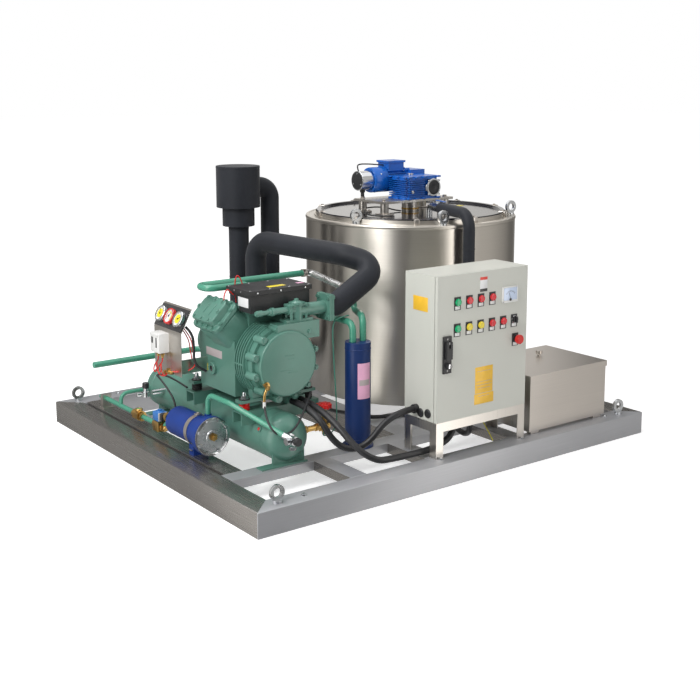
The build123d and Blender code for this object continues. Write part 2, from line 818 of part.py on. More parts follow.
# Compressor: motor barrel, crankcase and two banks at 45 degrees
cover_front_y = 430
cover_back_y = 500
barrel_radius = 148
barrel_back_y = 640
crank_half = 150
crank_front_y = 600
crank_back_y = 880
crank_tail = 55
crank_tail_half = 118
crank_bottom_z = 345
crank_top_z = 575
bank_front_y = 600
bank_back_y = 800
bank_half = 75
bank_round = 56
bank_foot = 60
bank_reach = 240
head_flange = 22
head_rise = 33
head_inset = 16
head_round = 30
valley_top_z = 692
valley_half = 80
foot_size = 46
foot_bar = (foot_spread + 56, foot_size, foot_plate)
foot_rib = (foot_spread - 60, foot_size - 16, 100)
stud_radius = 8
stud_gap = 0.5
rib_start = 514
rib_pitch = 16
rib_width = 7
rib_count = 4
rib_radius = 153
rib_edge = -40
cross_rib = 12
cross_rib_size = (rib_radius - barrel_radius + 2, (rib_count - 1) * rib_pitch + rib_width, cross_rib)
glass_y = 771
glass_z = 432
hose_face_y = 488
hose_exit_z = 321
lug_x = 455
lug_width = 88
lug_height = 28
compressor_axis = at(compressor_x, cover_back_y, compressor_z)
on_floor = (Align.CENTER, Align.MIN, Align.MIN)
crank_height = crank_top_z - crank_bottom_z


def bank_block(side, start, end, half, corner):
    """A rounded block across a bank, from one distance to another along the bank's axis."""
    length = bank_back_y - bank_front_y - 2 * (bank_half - half)
    bank_plane = Plane(
        origin=at(compressor_x, (bank_front_y + bank_back_y) / 2, compressor_z),
        x_dir=to_back,
        z_dir=(side * sin(pi / 4), 0, cos(pi / 4)),
    )
    with BuildPart() as piece:
        with BuildSketch(bank_plane.offset(start)):
            RectangleRounded(length, 2 * half, corner)
        extrude(amount=end - start)
    return piece.part


tail_back_y = crank_back_y + crank_tail
housing_steps = ((0, 40, 105), (40, 95, 82), (95, 115, 50))
housing_place = at(compressor_x, tail_back_y - 5, compressor_z)
barrel = turned(compressor_axis, to_back, ((0, barrel_back_y - cover_back_y, barrel_radius),))
rear_housing = turned(housing_place, to_back, housing_steps)
glass_place = at(compressor_x - crank_half, glass_y, glass_z)
sight_glass = turned(glass_place, to_left, ((0, 6, 26), (6, 12, 15)))
left_bank = bank_block(-1, bank_foot, bank_reach, bank_half, bank_round)
right_bank = bank_block(1, bank_foot, bank_reach, bank_half, bank_round)
with BuildPart() as compressor_body:
    add(barrel)
    with Locations(at(compressor_x, crank_front_y, crank_bottom_z)):
        Box(2 * crank_half, crank_back_y - crank_front_y, crank_height, align=on_floor)
    with Locations(at(compressor_x, crank_back_y, crank_bottom_z)):
        Box(2 * crank_tail_half, crank_tail, crank_height - 20, align=on_floor)
    add(rear_housing)
    add(sight_glass)
    add(left_bank)
    add(right_bank)
    with Locations(at(compressor_x, crank_front_y, compressor_z)):
        Box(2 * valley_half, bank_back_y - crank_front_y - 30, valley_top_z - compressor_z, align=on_floor)
    for rib in range(rib_count):
        rib_y = rib_start + rib * rib_pitch
        with BuildSketch(Plane(origin=at(compressor_x, rib_y, compressor_z), x_dir=to_right, z_dir=to_front)):
            Circle(rib_radius)
            with Locations((rib_edge, 0)):
                Rectangle(
                    rib_radius, 2 * rib_radius, align=(Align.MAX, Align.CENTER), mode=Mode.INTERSECT
                )
        extrude(amount=rib_width)
    with Locations(at(compressor_x - rib_radius, rib_start - rib_width, compressor_z - cross_rib / 2)):
        Box(*cross_rib_size, align=low_corner)
    for foot_y in (foot_front_y, foot_rear_y):
        with Locations(at(compressor_x, foot_y, foot_z)):
            Box(*foot_bar, align=(Align.CENTER, Align.CENTER, Align.MIN))
            Box(*foot_rib, align=(Align.CENTER, Align.CENTER, Align.MIN))
    with Locations(at(lug_x, hose_face_y, hose_exit_z - 11)):
        Box(lug_width, foot_front_y - hose_face_y, lug_height, align=low_corner)
    with Locations(at(lug_x, foot_front_y - foot_size / 2, hose_exit_z)):
        Box(lug_width, foot_size, foot_z - hose_exit_z + 2, align=low_corner)
    with BuildSketch(Plane(origin=at(compressor_x, 0, foot_z), z_dir=up)):
        for foot_y in (foot_front_y, foot_rear_y):
            with Locations((-foot_spread / 2, foot_y), (foot_spread / 2, foot_y)):
                Circle(stud_radius + stud_gap)
    extrude(amount=foot_plate, mode=Mode.SUBTRACT)
write(compressor_body.part, "compressor_body")

# End cover over the motor: deep lid with bolt bosses and the suction boss on top
boss_radius = 13
boss_count = 12
boss_circle = 148
boss_start_y = 446
rim_y = 474
cover_edge = 8
suction_boss = (382, 585)
suction_boss_z = 655
suction_boss_y = 442
suction_boss_low = 90
boss_depth = cover_back_y - suction_boss_y
cover_joint = Plane(origin=compressor_axis, x_dir=to_right, z_dir=to_front)
lid_steps = ((0, cover_back_y - cover_front_y, boss_circle - boss_radius),)
lid = turned(at(compressor_x, cover_front_y, compressor_z), to_back, lid_steps)
with BuildPart() as cover_lid:
    add(lid)
    fillet(cover_lid.faces().sort_by(Axis.Y)[0].edges(), radius=cover_edge)
with BuildPart() as motor_end_cover:
    add(cover_lid.part)
    with BuildSketch(cover_joint):
        Circle(boss_circle)
    extrude(amount=cover_back_y - rim_y)
    with BuildSketch(cover_joint):
        with PolarLocations(boss_circle, boss_count, start_angle=15):
            Circle(boss_radius)
    extrude(amount=cover_back_y - boss_start_y)
    with Locations(at(suction_boss[0], suction_boss_y, compressor_z + suction_boss_low)):
        Box(
            suction_boss[1] - suction_boss[0],
            boss_depth,
            suction_boss_z - compressor_z - suction_boss_low,
            align=low_corner,
        )
write(motor_end_cover.part, "motor_end_cover")

# Cylinder heads: a bolted flange with a smaller raised crown on each bank
heads = []
for side in (-1, 1):
    head_base = bank_block(side, bank_reach, bank_reach + head_flange, bank_half, head_round)
    crown_top = bank_reach + head_flange + head_rise
    crown = bank_block(side, bank_reach + head_flange, crown_top, bank_half - head_inset, head_round)
    with BuildPart() as head:
        add(head_base)
        add(crown)
    heads.append(head.part)
write(group(heads), "cylinder_heads")


buffer_radius = 22
washer_radius = 20
nut_radius = 12


def rubber_mount(x, y):
    """A rubber buffer with its stud through the compressor's foot and a nut on top."""
    foot_under = foot_z - rail_top_z
    foot_over = foot_under + foot_plate
    steps = (
        (0, foot_under, buffer_radius),
        (foot_under, foot_over, stud_radius),
        (foot_over, foot_over + 4, washer_radius),
        (foot_over + 4, foot_over + 18, nut_radius),
        (foot_over + 18, foot_over + 26, stud_radius),
    )
    return turned(at(x, y, rail_top_z), up, steps)


mounts = []
for mount_x in (compressor_x - foot_spread / 2, compressor_x + foot_spread / 2):
    for mount_y in (foot_front_y, foot_rear_y):
        mounts.append(rubber_mount(mount_x, mount_y))
write(group(mounts), "compressor_mounts")

# Terminal box on the valley between the banks, with its overhanging lid
box_left = 292
box_right = 594
box_front_y = 505
box_back_y = 685
box_top_z = 792
box_lid = 20
box_low_z = 700
box_overhang = 8
box_shelf = 13
box_inner = box_right - box_left - 2 * box_overhang
box_front_inner = box_front_y + box_overhang
pedestal = (100, 110, 70)
lid_z = box_top_z - box_lid
shelf_depth = box_back_y - box_front_y - 2 * box_overhang
with BuildPart() as terminal_box:
    with Locations(at(box_left + box_overhang, box_front_inner, box_low_z)):
        Box(box_inner, crank_front_y - box_front_inner - 2, lid_z - box_low_z, align=low_corner)
    with Locations(at(box_left + box_overhang, box_front_inner, lid_z - box_shelf)):
        Box(box_inner, shelf_depth, box_shelf, align=low_corner)
    with Locations(at(box_left, box_front_y, lid_z)):
        Box(box_right - box_left, box_back_y - box_front_y, box_lid, align=low_corner)
    with Locations(at(compressor_x, crank_front_y - 40, valley_top_z)):
        Box(*pedestal, align=on_floor)
write(terminal_box.part, "terminal_box")

# Suction valve on the end cover's boss: round body, capped stub, and a bolted flange pair
suction_valve_x = 495
suction_valve_y = 475
suction_z = 698
valve_pad = (130, 50, 12)
valve_tower_steps = ((0, 70, 26), (70, 78, 32), (78, 92, 7))
valve_stub_x = 300
valve_stub_steps = ((0, 60, 9), (60, 150, 13), (150, 210, 22))
valve_neck = 134
valve_neck_radius = 26
flange_size = (10.5, 94, 108)
flange_x = 628
flange_gasket = (18, 60, 60)
flange_shift = 11.5
valve_foot = at(suction_valve_x, suction_valve_y, suction_boss_z)
valve_middle = at(suction_valve_x, suction_valve_y, suction_z)
beside = (Align.MIN, Align.CENTER, Align.CENTER)
with BuildPart() as suction_valve:
    with Locations(valve_foot):
        Box(*valve_pad, align=(Align.CENTER, Align.CENTER, Align.MIN))
    add(turned(valve_foot, up, valve_tower_steps))
    add(turned(at(valve_stub_x, suction_valve_y, suction_z + 8), to_right, valve_stub_steps))
    add(turned(valve_middle, to_right, ((0, valve_neck, valve_neck_radius),)))
    with Locations(at(flange_x, suction_valve_y, suction_z)):
        Box(*flange_size, align=beside)
    with Locations(at(flange_x + flange_shift, suction_valve_y, suction_z)):
        Box(*flange_size, align=beside)
    with Locations(at(flange_x + 2, suction_valve_y, suction_z)):
        Box(*flange_gasket, align=beside)
write(suction_valve.part, "suction_valve")

# Insulated suction line and the column it comes from
suction_radius = 48
column_x = 731
column_y = port_y
branch_z = 1120
branch_x = 905
suction_drop_z = 420
suction_drop_x = 728
suction_drop_y = 1150
suction_start = flange_x + flange_shift + flange_size[0]
line_end_y = column_y - 60
suction_route = [
    at(suction_start, suction_valve_y, suction_z),
    at(suction_start + 40, suction_valve_y, suction_z),
    at(935, 480, 835),
    at(835, 620, 878),
    at(suction_drop_x, suction_drop_y, 890),
    at(suction_drop_x, suction_drop_y, suction_drop_z),
    at(suction_drop_x, line_end_y, suction_drop_z),
]
suction_bends = [100, 70, 150, 85, 55]
write(pipe(suction_route, suction_radius, suction_bends), "suction_line")
column_steps = (
    (beam_top, 942, 47),
    (942, 1030, 75),
    (1030, 1222, 102),
)
branch_radius = 44
branch_bend = 60
branch_route = [
    at(column_x + 90, column_y, branch_z),
    at(branch_x, column_y, branch_z),
    at(branch_x, column_y, port_z),
    at(port_x, column_y, port_z),
]
column_body = turned(at(column_x, column_y), up, column_steps)
column_port = turned(at(suction_drop_x, line_end_y, suction_drop_z), to_back, ((0, 60, 42),))
column_branch = pipe(branch_route, branch_radius, branch_bend)
with BuildPart() as suction_column:
    add(column_body)
    add(column_port)
    add(column_branch)
write(suction_column.part, "suction_column")

# Discharge: out of the valley, round behind the terminal box, then a flexible length to the separator
green_radius = 14
flex_radius = 15
flex_bend = 30
separator_x = 750
separator_y = 400
separator_radius = 54
separator_foot = 12
separator_top_z = 549
separator_port = 26
discharge_x = 430
discharge_y = 728
discharge_z = 778
discharge_left_x = 232
discharge_back_y = 815
flex_start = at(762, discharge_back_y, discharge_z)
flex_end = at(830, 600, 735)
discharge_route = [
    at(discharge_x, discharge_y, valley_top_z),
    at(discharge_x, discharge_y, discharge_z),
    at(discharge_left_x, discharge_y, discharge_z),
    at(discharge_left_x, discharge_back_y, discharge_z),
    flex_start,
]
flex_corner = at(800, discharge_back_y, discharge_z)
flex_route = [flex_start, flex_corner, flex_end]
flex_lead = 0.22
separator_inlet = [
    flex_end,
    tuple(end + flex_lead * (end - corner) for corner, end in zip(flex_corner, flex_end)),
    at(845, 552, 650),
    at(separator_x + separator_port, separator_y, 650),
    at(separator_x + separator_port, separator_y, separator_top_z),
]
stub_x = 23
outlet_turn_y = 1040
outlet_rise_z = 630
stub_y = 1400
stub_z = 355
outlet_x = separator_x - separator_port
separator_outlet = [
    at(outlet_x, separator_y, separator_top_z),
    at(outlet_x, separator_y, outlet_rise_z),
    at(outlet_x, outlet_turn_y, outlet_rise_z),
    at(outlet_x, outlet_turn_y, stub_z),
    at(560, stub_y, stub_z),
    at(stub_x, stub_y, stub_z),
]
head_bends = [36, 36, 36]
inlet_bends = [20, 30, 36]
outlet_bends = [36, 45, 45, 60]
head_pipe = pipe(discharge_route, green_radius, head_bends)
inlet_pipe = pipe(separator_inlet, green_radius, inlet_bends)
outlet_pipe = pipe(separator_outlet, green_radius, outlet_bends)
separator_height = separator_top_z - beam_top
separator_steps = ((0, 8, separator_radius + separator_foot), (8, separator_height, separator_radius))
write(pipe(flex_route, flex_radius, flex_bend), "discharge_flex")
write(group([head_pipe, inlet_pipe, outlet_pipe]), "discharge_line")
write(turned(at(separator_x, separator_y, beam_top), up, separator_steps), "oil_separator")

# Filter drier on its strap, and the liquid line that feeds it
drier_x = 165
drier_z = 200
drier_front_y = 600
drier_back_y = 905
line_x = 150
line_z = 145
line_radius = 11
drier_shell = 62
drier_flange = 80
drier_length = drier_back_y - drier_front_y
drier_steps = ((0, 26, drier_flange), (26, 280, drier_shell), (280, drier_length, 22))
strap_y = 711
strap_size = (70, 36, 70)
arch_x = 200
arch_y = 690
arch_foot_z = 268
arch_port_radius = 15
arch_port = at(arch_x, arch_y, drier_z + 20)
with BuildPart() as filter_drier:
    add(turned(at(drier_x, drier_front_y, drier_z), to_back, drier_steps))
    add(turned(arch_port, up, ((0, arch_foot_z - drier_z - 20, arch_port_radius),)))
    with Locations(at(drier_x, strap_y, beam_top)):
        Box(*strap_size, align=(Align.CENTER, Align.CENTER, Align.MIN))
write(filter_drier.part, "filter_drier")

line_back_y = 1610
solenoid_y = 1020
solenoid_block = (44, 52, 44)
sight_y = 1195
sight_steps = ((0, 12, 16), (12, 40, 21), (40, 52, 16))
feed_radius = 9
line_bends = [20, 28]
feed_bend = 34
line_route = [
    at(drier_x, drier_back_y, drier_z),
    at(drier_x, drier_back_y + 30, drier_z),
    at(line_x, drier_back_y + 80, line_z),
    at(line_x, line_back_y, line_z),
]
feed_route = [
    at(receiver_x - receiver_radius - liquid_port_length, liquid_y, receiver_z),
    at(line_x, liquid_y, receiver_z),
    at(line_x, liquid_y, line_z),
]
line_pipe = pipe(line_route, line_radius, line_bends)
feed_pipe = pipe(feed_route, feed_radius, feed_bend)
with BuildPart() as liquid_line:
    add(line_pipe)
    add(feed_pipe)
    add(turned(at(line_x, sight_y, line_z), to_back, sight_steps))
    with Locations(at(line_x, solenoid_y, line_z)):
        Box(*solenoid_block, align=(Align.CENTER, Align.CENTER, Align.CENTER))

# Arched pipe from the drier's shell over to the receiver's front service valve
arch_z = 350
arch_bends = [38, 60]
service_steps = ((0, 40, 11), (40, 78, 18), (78, 96, 9))
service_reach = (service_steps[1][0] + service_steps[1][1]) / 2
service_boss = 44
service_boss_radius = 13
service_middle = Vector(valve_port[0], valve_port[1] - service_reach, valve_port[2])
arch_shoulder = Vector(*at(arch_x + 10, arch_y - 160, arch_z - 5))
arch_back = (arch_shoulder - service_middle).normalized()
arch_route = [
    at(arch_x, arch_y, arch_foot_z),
    at(arch_x, arch_y, arch_z),
    arch_shoulder,
    service_middle + arch_back * service_boss,
]
write(group([liquid_line.part, pipe(arch_route, line_radius, arch_bends)]), "liquid_line")
coil_steps = ((0, 6, 18), (6, 44, 25))
coil_place = at(line_x, solenoid_y, line_z + solenoid_block[2] / 2)
write(turned(coil_place, up, coil_steps), "solenoid_coil")

clamp_y = 1560
clamp_foot = (60, 44, 5)
clamp_block = (44, 24, line_z - beam_top + 20)
clamp_bore = line_radius + 0.02
with BuildPart() as pipe_clamp:
    with Locations(at(inner_left_x + inner_width / 2, clamp_y, beam_top)):
        Box(*clamp_foot, align=(Align.CENTER, Align.CENTER, Align.MIN))
    with Locations(at(line_x, clamp_y, beam_top)):
        Box(*clamp_block, align=(Align.CENTER, Align.CENTER, Align.MIN))
    with BuildSketch(Plane(origin=at(line_x, clamp_y - clamp_block[1] / 2, line_z), z_dir=to_back)):
        Circle(clamp_bore)
    extrude(amount=clamp_block[1], mode=Mode.SUBTRACT)
write(pipe_clamp.part, "pipe_clamp")

# Gauge panel with its gauges and the pressure control
panel_x = 150
panel_front_y = 815
panel_back_y = 1050
panel_low_z = 400
panel_bend_z = 583
panel_top_z = 682
panel_lean = 53
panel_sheet = 3
bracket_size = (5, 60)
with BuildPart() as gauge_panel:
    with BuildSketch(Plane(origin=at(0, panel_back_y), x_dir=to_right, z_dir=to_front)):
        Polygon(
            (panel_x, panel_low_z),
            (panel_x, panel_bend_z),
            (panel_x + panel_lean, panel_top_z),
            (panel_x + panel_lean + panel_sheet, panel_top_z),
            (panel_x + panel_sheet, panel_bend_z),
            (panel_x + panel_sheet, panel_low_z),
            align=None,
        )
    extrude(amount=panel_back_y - panel_front_y)
    with Locations(at(panel_x + panel_sheet, crank_back_y - bracket_size[1], panel_low_z + 12)):
        Box(compressor_x - crank_half - panel_x - panel_sheet, *bracket_size, align=low_corner)
write(gauge_panel.part, "gauge_panel")
gauge_radius = 34
gauge_depth = 22
gauge_inset = 40
control_size = (50, 80, 90)
control_y = 917
control_z = 483
lean_length = sqrt(panel_lean**2 + (panel_top_z - panel_bend_z) ** 2)
lean_normal = (-(panel_top_z - panel_bend_z) / lean_length, 0, panel_lean / lean_length)
gauges = []
for gauge_y in (panel_front_y + gauge_inset, (panel_front_y + panel_back_y) / 2, panel_back_y - gauge_inset):
    gauge_place = at(panel_x + panel_lean / 2, gauge_y, (panel_bend_z + panel_top_z) / 2)
    gauges.append(turned(gauge_place, lean_normal, ((0, gauge_depth, gauge_radius),)))
write(group(gauges), "pressure_gauges")
write(block(at(panel_x - control_size[0], control_y, control_z), control_size), "pressure_control")

# Regulating valve with its handwheel, on the receiver's right side
wheel_x = 605
wheel_y = 440
wheel_z = 278
regulator_steps = ((0, 100, 12), (100, 140, 17))
regulator_foot_z = 190
riser_steps = ((0, 30, 17), (30, wheel_z - regulator_foot_z, 11))
regulator_x = receiver_x + receiver_radius + 0.2
with BuildPart() as regulating_valve:
    add(turned(at(regulator_x, wheel_y, receiver_z), to_right, regulator_steps))
    add(turned(at(wheel_x, wheel_y, regulator_foot_z), up, riser_steps))
wheel_steps = ((0, 8, 14), (8, 22, 30))
write(turned(at(wheel_x, wheel_y, wheel_z), up, wheel_steps), "red_handwheel")

# Receiver's front service valve on its dome
with BuildPart() as front_valve:
    add(turned(valve_port, to_front, service_steps))
    add(turned(service_middle, arch_back, ((0, service_boss, service_boss_radius),)))
write(group([front_valve.part, regulating_valve.part]), "receiver_valves")

# Cabinet stand: four angle legs under a frame of flats
leg_width = 40
leg_sheet = 4
stand_rail = 40
stand_back_y = cabinet_y + cabinet_depth
cabinet_right = cabinet_x + cabinet_width
with BuildPart() as cabinet_stand:
    with Locations(at(cabinet_x, cabinet_y, cabinet_z - stand_rail)):
        Box(cabinet_width, cabinet_depth, stand_rail, align=low_corner)
    with Locations(at(cabinet_x + leg_sheet, cabinet_y + leg_sheet, cabinet_z - stand_rail)):
        Box(
            cabinet_width - 2 * leg_sheet,
            cabinet_depth - 2 * leg_sheet,
            stand_rail,
            align=low_corner,
            mode=Mode.SUBTRACT,
        )
    for leg_x, side_x in ((cabinet_x, cabinet_x), (cabinet_right - leg_width, cabinet_right - leg_sheet)):
        for leg_y, side_y in ((cabinet_y, cabinet_y), (stand_back_y - leg_width, stand_back_y - leg_sheet)):
            with Locations(at(leg_x, side_y, beam_top)):
                Box(leg_width, leg_sheet, cabinet_z - beam_top, align=low_corner)
            with Locations(at(side_x, leg_y, beam_top)):
                Box(leg_sheet, leg_width, cabinet_z - beam_top, align=low_corner)
write(cabinet_stand.part, "cabinet_stand")

# Cabinet box: folded sheet with a lip round its opening, and two hinges with upright pins
box_front = cabinet_y + door_depth + door_gap
box_depth = stand_back_y - box_front
box_lip = 18
pivot_inset = 5
pivot_x = cabinet_right - pivot_inset
pivot_y = cabinet_y + 10
hinge_levels = (cabinet_z + 70, cabinet_z + cabinet_height - 100)
hinge_height = 16
pin_size = 2.5
tab_half = 2.5
with BuildPart() as cabinet_box:
    with Locations(at(cabinet_x, box_front, cabinet_z)):
        Box(cabinet_width, box_depth, cabinet_height, align=low_corner)
    with Locations(at(cabinet_x + cabinet_sheet, box_front + cabinet_sheet, cabinet_z + cabinet_sheet)):
        Box(
            cabinet_width - 2 * cabinet_sheet,
            box_depth - 2 * cabinet_sheet,
            cabinet_height - 2 * cabinet_sheet,
            align=low_corner,
            mode=Mode.SUBTRACT,
        )
    with Locations(at(cabinet_x + box_lip, box_front, cabinet_z + box_lip)):
        Box(
            cabinet_width - 2 * box_lip,
            cabinet_sheet,
            cabinet_height - 2 * box_lip,
            align=low_corner,
            mode=Mode.SUBTRACT,
        )
    for level in hinge_levels:
        with Locations(at(pivot_x - tab_half, pivot_y - 4, level)):
            Box(2 * tab_half, box_front - pivot_y + 4, hinge_height, align=low_corner)
        with BuildSketch(Plane(origin=at(pivot_x, pivot_y, level), z_dir=up)):
            Circle(pin_size)
        extrude(amount=2 * hinge_height)
write(cabinet_box.part, "cabinet_box")

# Mounting plate with the switchgear on it
plate_margin = 30
plate_standoff = 8
plate_y = stand_back_y - cabinet_sheet - plate_standoff - cabinet_sheet
plate_size = (cabinet_width - 2 * plate_margin, cabinet_sheet, cabinet_height - 2 * plate_margin)
with BuildPart() as mounting_plate:
    with Locations(at(cabinet_x + plate_margin, plate_y, cabinet_z + plate_margin)):
        Box(*plate_size, align=low_corner)
    for stud_side in (plate_margin + 25, cabinet_width - plate_margin - 25):
        for stud_level in (plate_margin + 25, cabinet_height - plate_margin - 25):
            stud_place = at(cabinet_x + stud_side, plate_y + cabinet_sheet, cabinet_z + stud_level)
            with BuildSketch(Plane(origin=stud_place, z_dir=to_back)):
                Circle(6)
            extrude(amount=plate_standoff)
write(mounting_plate.part, "mounting_plate")

gear_rows = (
    (80, 100, ((50, 75, 80), (140, 45, 70), (200, 45, 70), (260, 45, 70), (330, 90, 60))),
    (240, 90, ((60, 55, 75), (125, 55, 75), (190, 55, 75), (255, 55, 75), (330, 70, 75))),
    (400, 110, ((50, 120, 60), (190, 100, 90), (310, 120, 50))),
)
gear_blocks = []
for row_z, row_height, row in gear_rows:
    for gear_left, gear_width, gear_out in row:
        corner = at(cabinet_x + gear_left, plate_y - gear_out, cabinet_z + row_z)
        gear_blocks.append(block(corner, (gear_width, gear_out, row_height)))
write(group(gear_blocks), "control_gear")

# Door: shallow tray hung on the pins, drilled for everything it carries
lamp_head = 14.5
lamp_shank = 11
lamp_out = 10
legend_thickness = 1.5
legend_size = (35, 54)
cabinet_top_z = cabinet_z + cabinet_height
upper_row_z = cabinet_top_z - 112
lower_row_z = cabinet_top_z - 221
lamp_pitch = 64
first_lamp_x = cabinet_x + 105
lamp_rows = ((upper_row_z, 4), (lower_row_z, 5))
selector_place = (cabinet_x + 424, lower_row_z)
stop_place = (cabinet_x + 433, cabinet_top_z - 305)
meter_corner = (cabinet_x + 351, cabinet_top_z - 145)
meter_size = (85, 67)
meter_out = 8
meter_depth = 35
meter_hole = 28
handle_x = cabinet_x + 50
spindle_z = cabinet_z + 328
spindle_radius = 7
legend_front = cabinet_y - legend_thickness
door_inner = cabinet_y + cabinet_sheet
lamp_places = [(first_lamp_x + lamp_pitch * n, row_z) for row_z, count in lamp_rows for n in range(count)]
with BuildPart() as cabinet_door:
    with Locations(at(cabinet_x, cabinet_y, cabinet_z)):
        Box(cabinet_width, door_depth, cabinet_height, align=low_corner)
    with Locations(at(cabinet_x + cabinet_sheet, door_inner, cabinet_z + cabinet_sheet)):
        Box(
            cabinet_width - 2 * cabinet_sheet,
            door_depth,
            cabinet_height - 2 * cabinet_sheet,
            align=low_corner,
            mode=Mode.SUBTRACT,
        )
    for level in hinge_levels:
        with Locations(at(pivot_x - 4, door_inner, level - 1)):
            Box(10, door_depth, hinge_height + 1, align=low_corner, mode=Mode.SUBTRACT)
        with Locations(at(pivot_x, (door_inner + pivot_y + 4) / 2, level + hinge_height + 0.5)):
            Box(
                8,
                pivot_y + 4 - door_inner,
                hinge_height - 1,
                align=(Align.CENTER, Align.CENTER, Align.MIN),
            )
        with BuildSketch(Plane(origin=at(pivot_x, pivot_y, level + hinge_height), z_dir=up)):
            Circle(pin_size + running_gap)
        extrude(amount=hinge_height + 1, mode=Mode.SUBTRACT)
    with BuildSketch(Plane(origin=at(0, cabinet_y, 0), x_dir=to_right, z_dir=to_front)):
        with Locations(*lamp_places, selector_place):
            Circle(lamp_shank)
        with Locations(stop_place):
            Circle(lamp_shank)
        with Locations((handle_x, spindle_z)):
            Circle(spindle_radius + running_gap)
        with Locations((meter_corner[0] + meter_size[0] / 2, meter_corner[1] + meter_size[1] / 2)):
            Circle(meter_hole)
    extrude(amount=-cabinet_sheet, mode=Mode.SUBTRACT)
write(cabinet_door.part, "cabinet_door")

legend_places = [(lamp_x, row_z - 6) for lamp_x, row_z in lamp_places]
legend_places += [(selector_place[0], selector_place[1] - 6), (stop_place[0], stop_place[1] - 4)]
legend_solids = []
for index, (legend_x, legend_z) in enumerate(legend_places):
    hole_offset = 6 if index < len(legend_places) - 1 else 4
    with BuildPart() as legend:
        with BuildSketch(Plane(origin=at(legend_x, cabinet_y, legend_z), x_dir=to_right, z_dir=to_front)):
            Rectangle(*legend_size)
            with Locations((0, hole_offset)):
                Circle(lamp_shank, mode=Mode.SUBTRACT)
        extrude(amount=legend_thickness)
    legend_solids.append(legend.part)

lamp_steps = ((0, lamp_out, lamp_head), (lamp_out, lamp_out + legend_thickness + cabinet_sheet, lamp_shank))
lamp_back = lamp_steps[-1][1]
lamp_steps += ((lamp_back, lamp_back + 34, 15),)
lamps = [turned(at(x, legend_front - lamp_out, z), to_back, lamp_steps) for x, z in lamp_places]
write(group(lamps), "indicator_lamps")

# Fixed collars of the selector and the stop button, and the two moving heads
knob_bore = 5
stop_bore = 6
collar_out = 6
knob_out = 24
stop_out = 34


def collar(place, bore):
    """A switch body clamped through the door, bored for its moving head."""
    start = at(place[0], legend_front - collar_out, place[1])
    steps = (
        (0, collar_out, lamp_head),
        (collar_out, collar_out + legend_thickness + cabinet_sheet, lamp_shank),
        (collar_out + legend_thickness + cabinet_sheet, 50, 15),
    )
    with BuildPart() as body:
        add(turned(start, to_back, steps))
        with BuildSketch(Plane(origin=start, z_dir=to_back)):
            Circle(bore + running_gap)
        extrude(amount=40, mode=Mode.SUBTRACT)
    return body.part


write(group([collar(selector_place, knob_bore), collar(stop_place, stop_bore)]), "switch_bodies")
knob_face = legend_front - collar_out - 0.3
knob_start = at(selector_place[0], knob_face - knob_out + 10, selector_place[1])
with BuildPart() as selector_knob:
    add(turned(knob_start, to_back, ((8, knob_out - 10, 13), (knob_out - 10, knob_out + 10, knob_bore))))
    with Locations((knob_start[0], knob_start[1], knob_start[2])):
        Box(7, 9, 26, align=(Align.CENTER, Align.MIN, Align.CENTER))
write(selector_knob.part, "selector_knob")
stop_start = at(stop_place[0], legend_front - stop_out, stop_place[1])
stop_steps = ((0, 4, 17), (4, 14, 20), (14, stop_out + 18, stop_bore))
write(turned(stop_start, to_back, stop_steps), "stop_button")

with BuildPart() as panel_meter:
    with Locations(at(meter_corner[0], cabinet_y - meter_out, meter_corner[1])):
        Box(meter_size[0], meter_out, meter_size[1], align=low_corner)
    meter_middle = at(meter_corner[0] + meter_size[0] / 2, cabinet_y, meter_corner[1] + meter_size[1] / 2)
    with BuildSketch(Plane(origin=meter_middle, z_dir=to_back)):
        Circle(meter_hole - 0.5)
    extrude(amount=meter_depth)
write(panel_meter.part, "panel_meter")

# Swing handle: escutcheon, spindle with its latch tongue, and the lever that tips out of its fork
escutcheon_size = (42, 152)
escutcheon_z = cabinet_z + 203
escutcheon_out = 8
key_radius = 12
key_out = 14
key_z = escutcheon_z + 32
lever_gap = 1
lever_thick = 13
lever_width = 30
lever_length_down = 66
fork_pin = 2.5
fork_pin_reach = 12
fork_tongue = 8
fork_slot = 8.6
lever_low_z = spindle_z - lever_length_down
tongue_reach = 42
plate_face_y = cabinet_y - escutcheon_out
fork_center_y = plate_face_y - lever_gap - lever_thick / 2
key_cylinder = turned(at(handle_x, plate_face_y - key_out, key_z), to_back, ((0, key_out, key_radius),))
with BuildPart() as handle_plate:
    with Locations(at(handle_x, plate_face_y, escutcheon_z)):
        Box(escutcheon_size[0], escutcheon_out, escutcheon_size[1], align=on_floor)
    with BuildSketch(Plane(origin=at(handle_x, plate_face_y, spindle_z), z_dir=to_back)):
        Circle(spindle_radius + running_gap)
    extrude(amount=escutcheon_out, mode=Mode.SUBTRACT)
write(group(legend_solids + [handle_plate.part, key_cylinder]), "control_plates")

lip_back = box_front + cabinet_sheet
spindle_front = fork_center_y - fork_tongue / 2
spindle_neck_y = plate_face_y - 0.5
tongue_gap = 7
tongue_size = (18, 4, tongue_reach + fork_tongue)
with BuildPart() as lock_spindle:
    with Locations(at(handle_x, spindle_front, spindle_z)):
        Box(fork_tongue, spindle_neck_y - spindle_front, 10, align=(Align.CENTER, Align.MIN, Align.CENTER))
    with BuildSketch(Plane(origin=at(handle_x, spindle_neck_y, spindle_z), z_dir=to_back)):
        Circle(spindle_radius)
    extrude(amount=lip_back + tongue_gap + tongue_size[1] - spindle_neck_y)
    with Locations(at(handle_x, lip_back + tongue_gap, spindle_z - fork_tongue)):
        Box(*tongue_size, align=on_floor)
    with BuildSketch(Plane(origin=at(handle_x - fork_pin_reach, fork_center_y, spindle_z), z_dir=to_right)):
        Circle(fork_pin)
    extrude(amount=2 * fork_pin_reach)
write(lock_spindle.part, "lock_spindle")

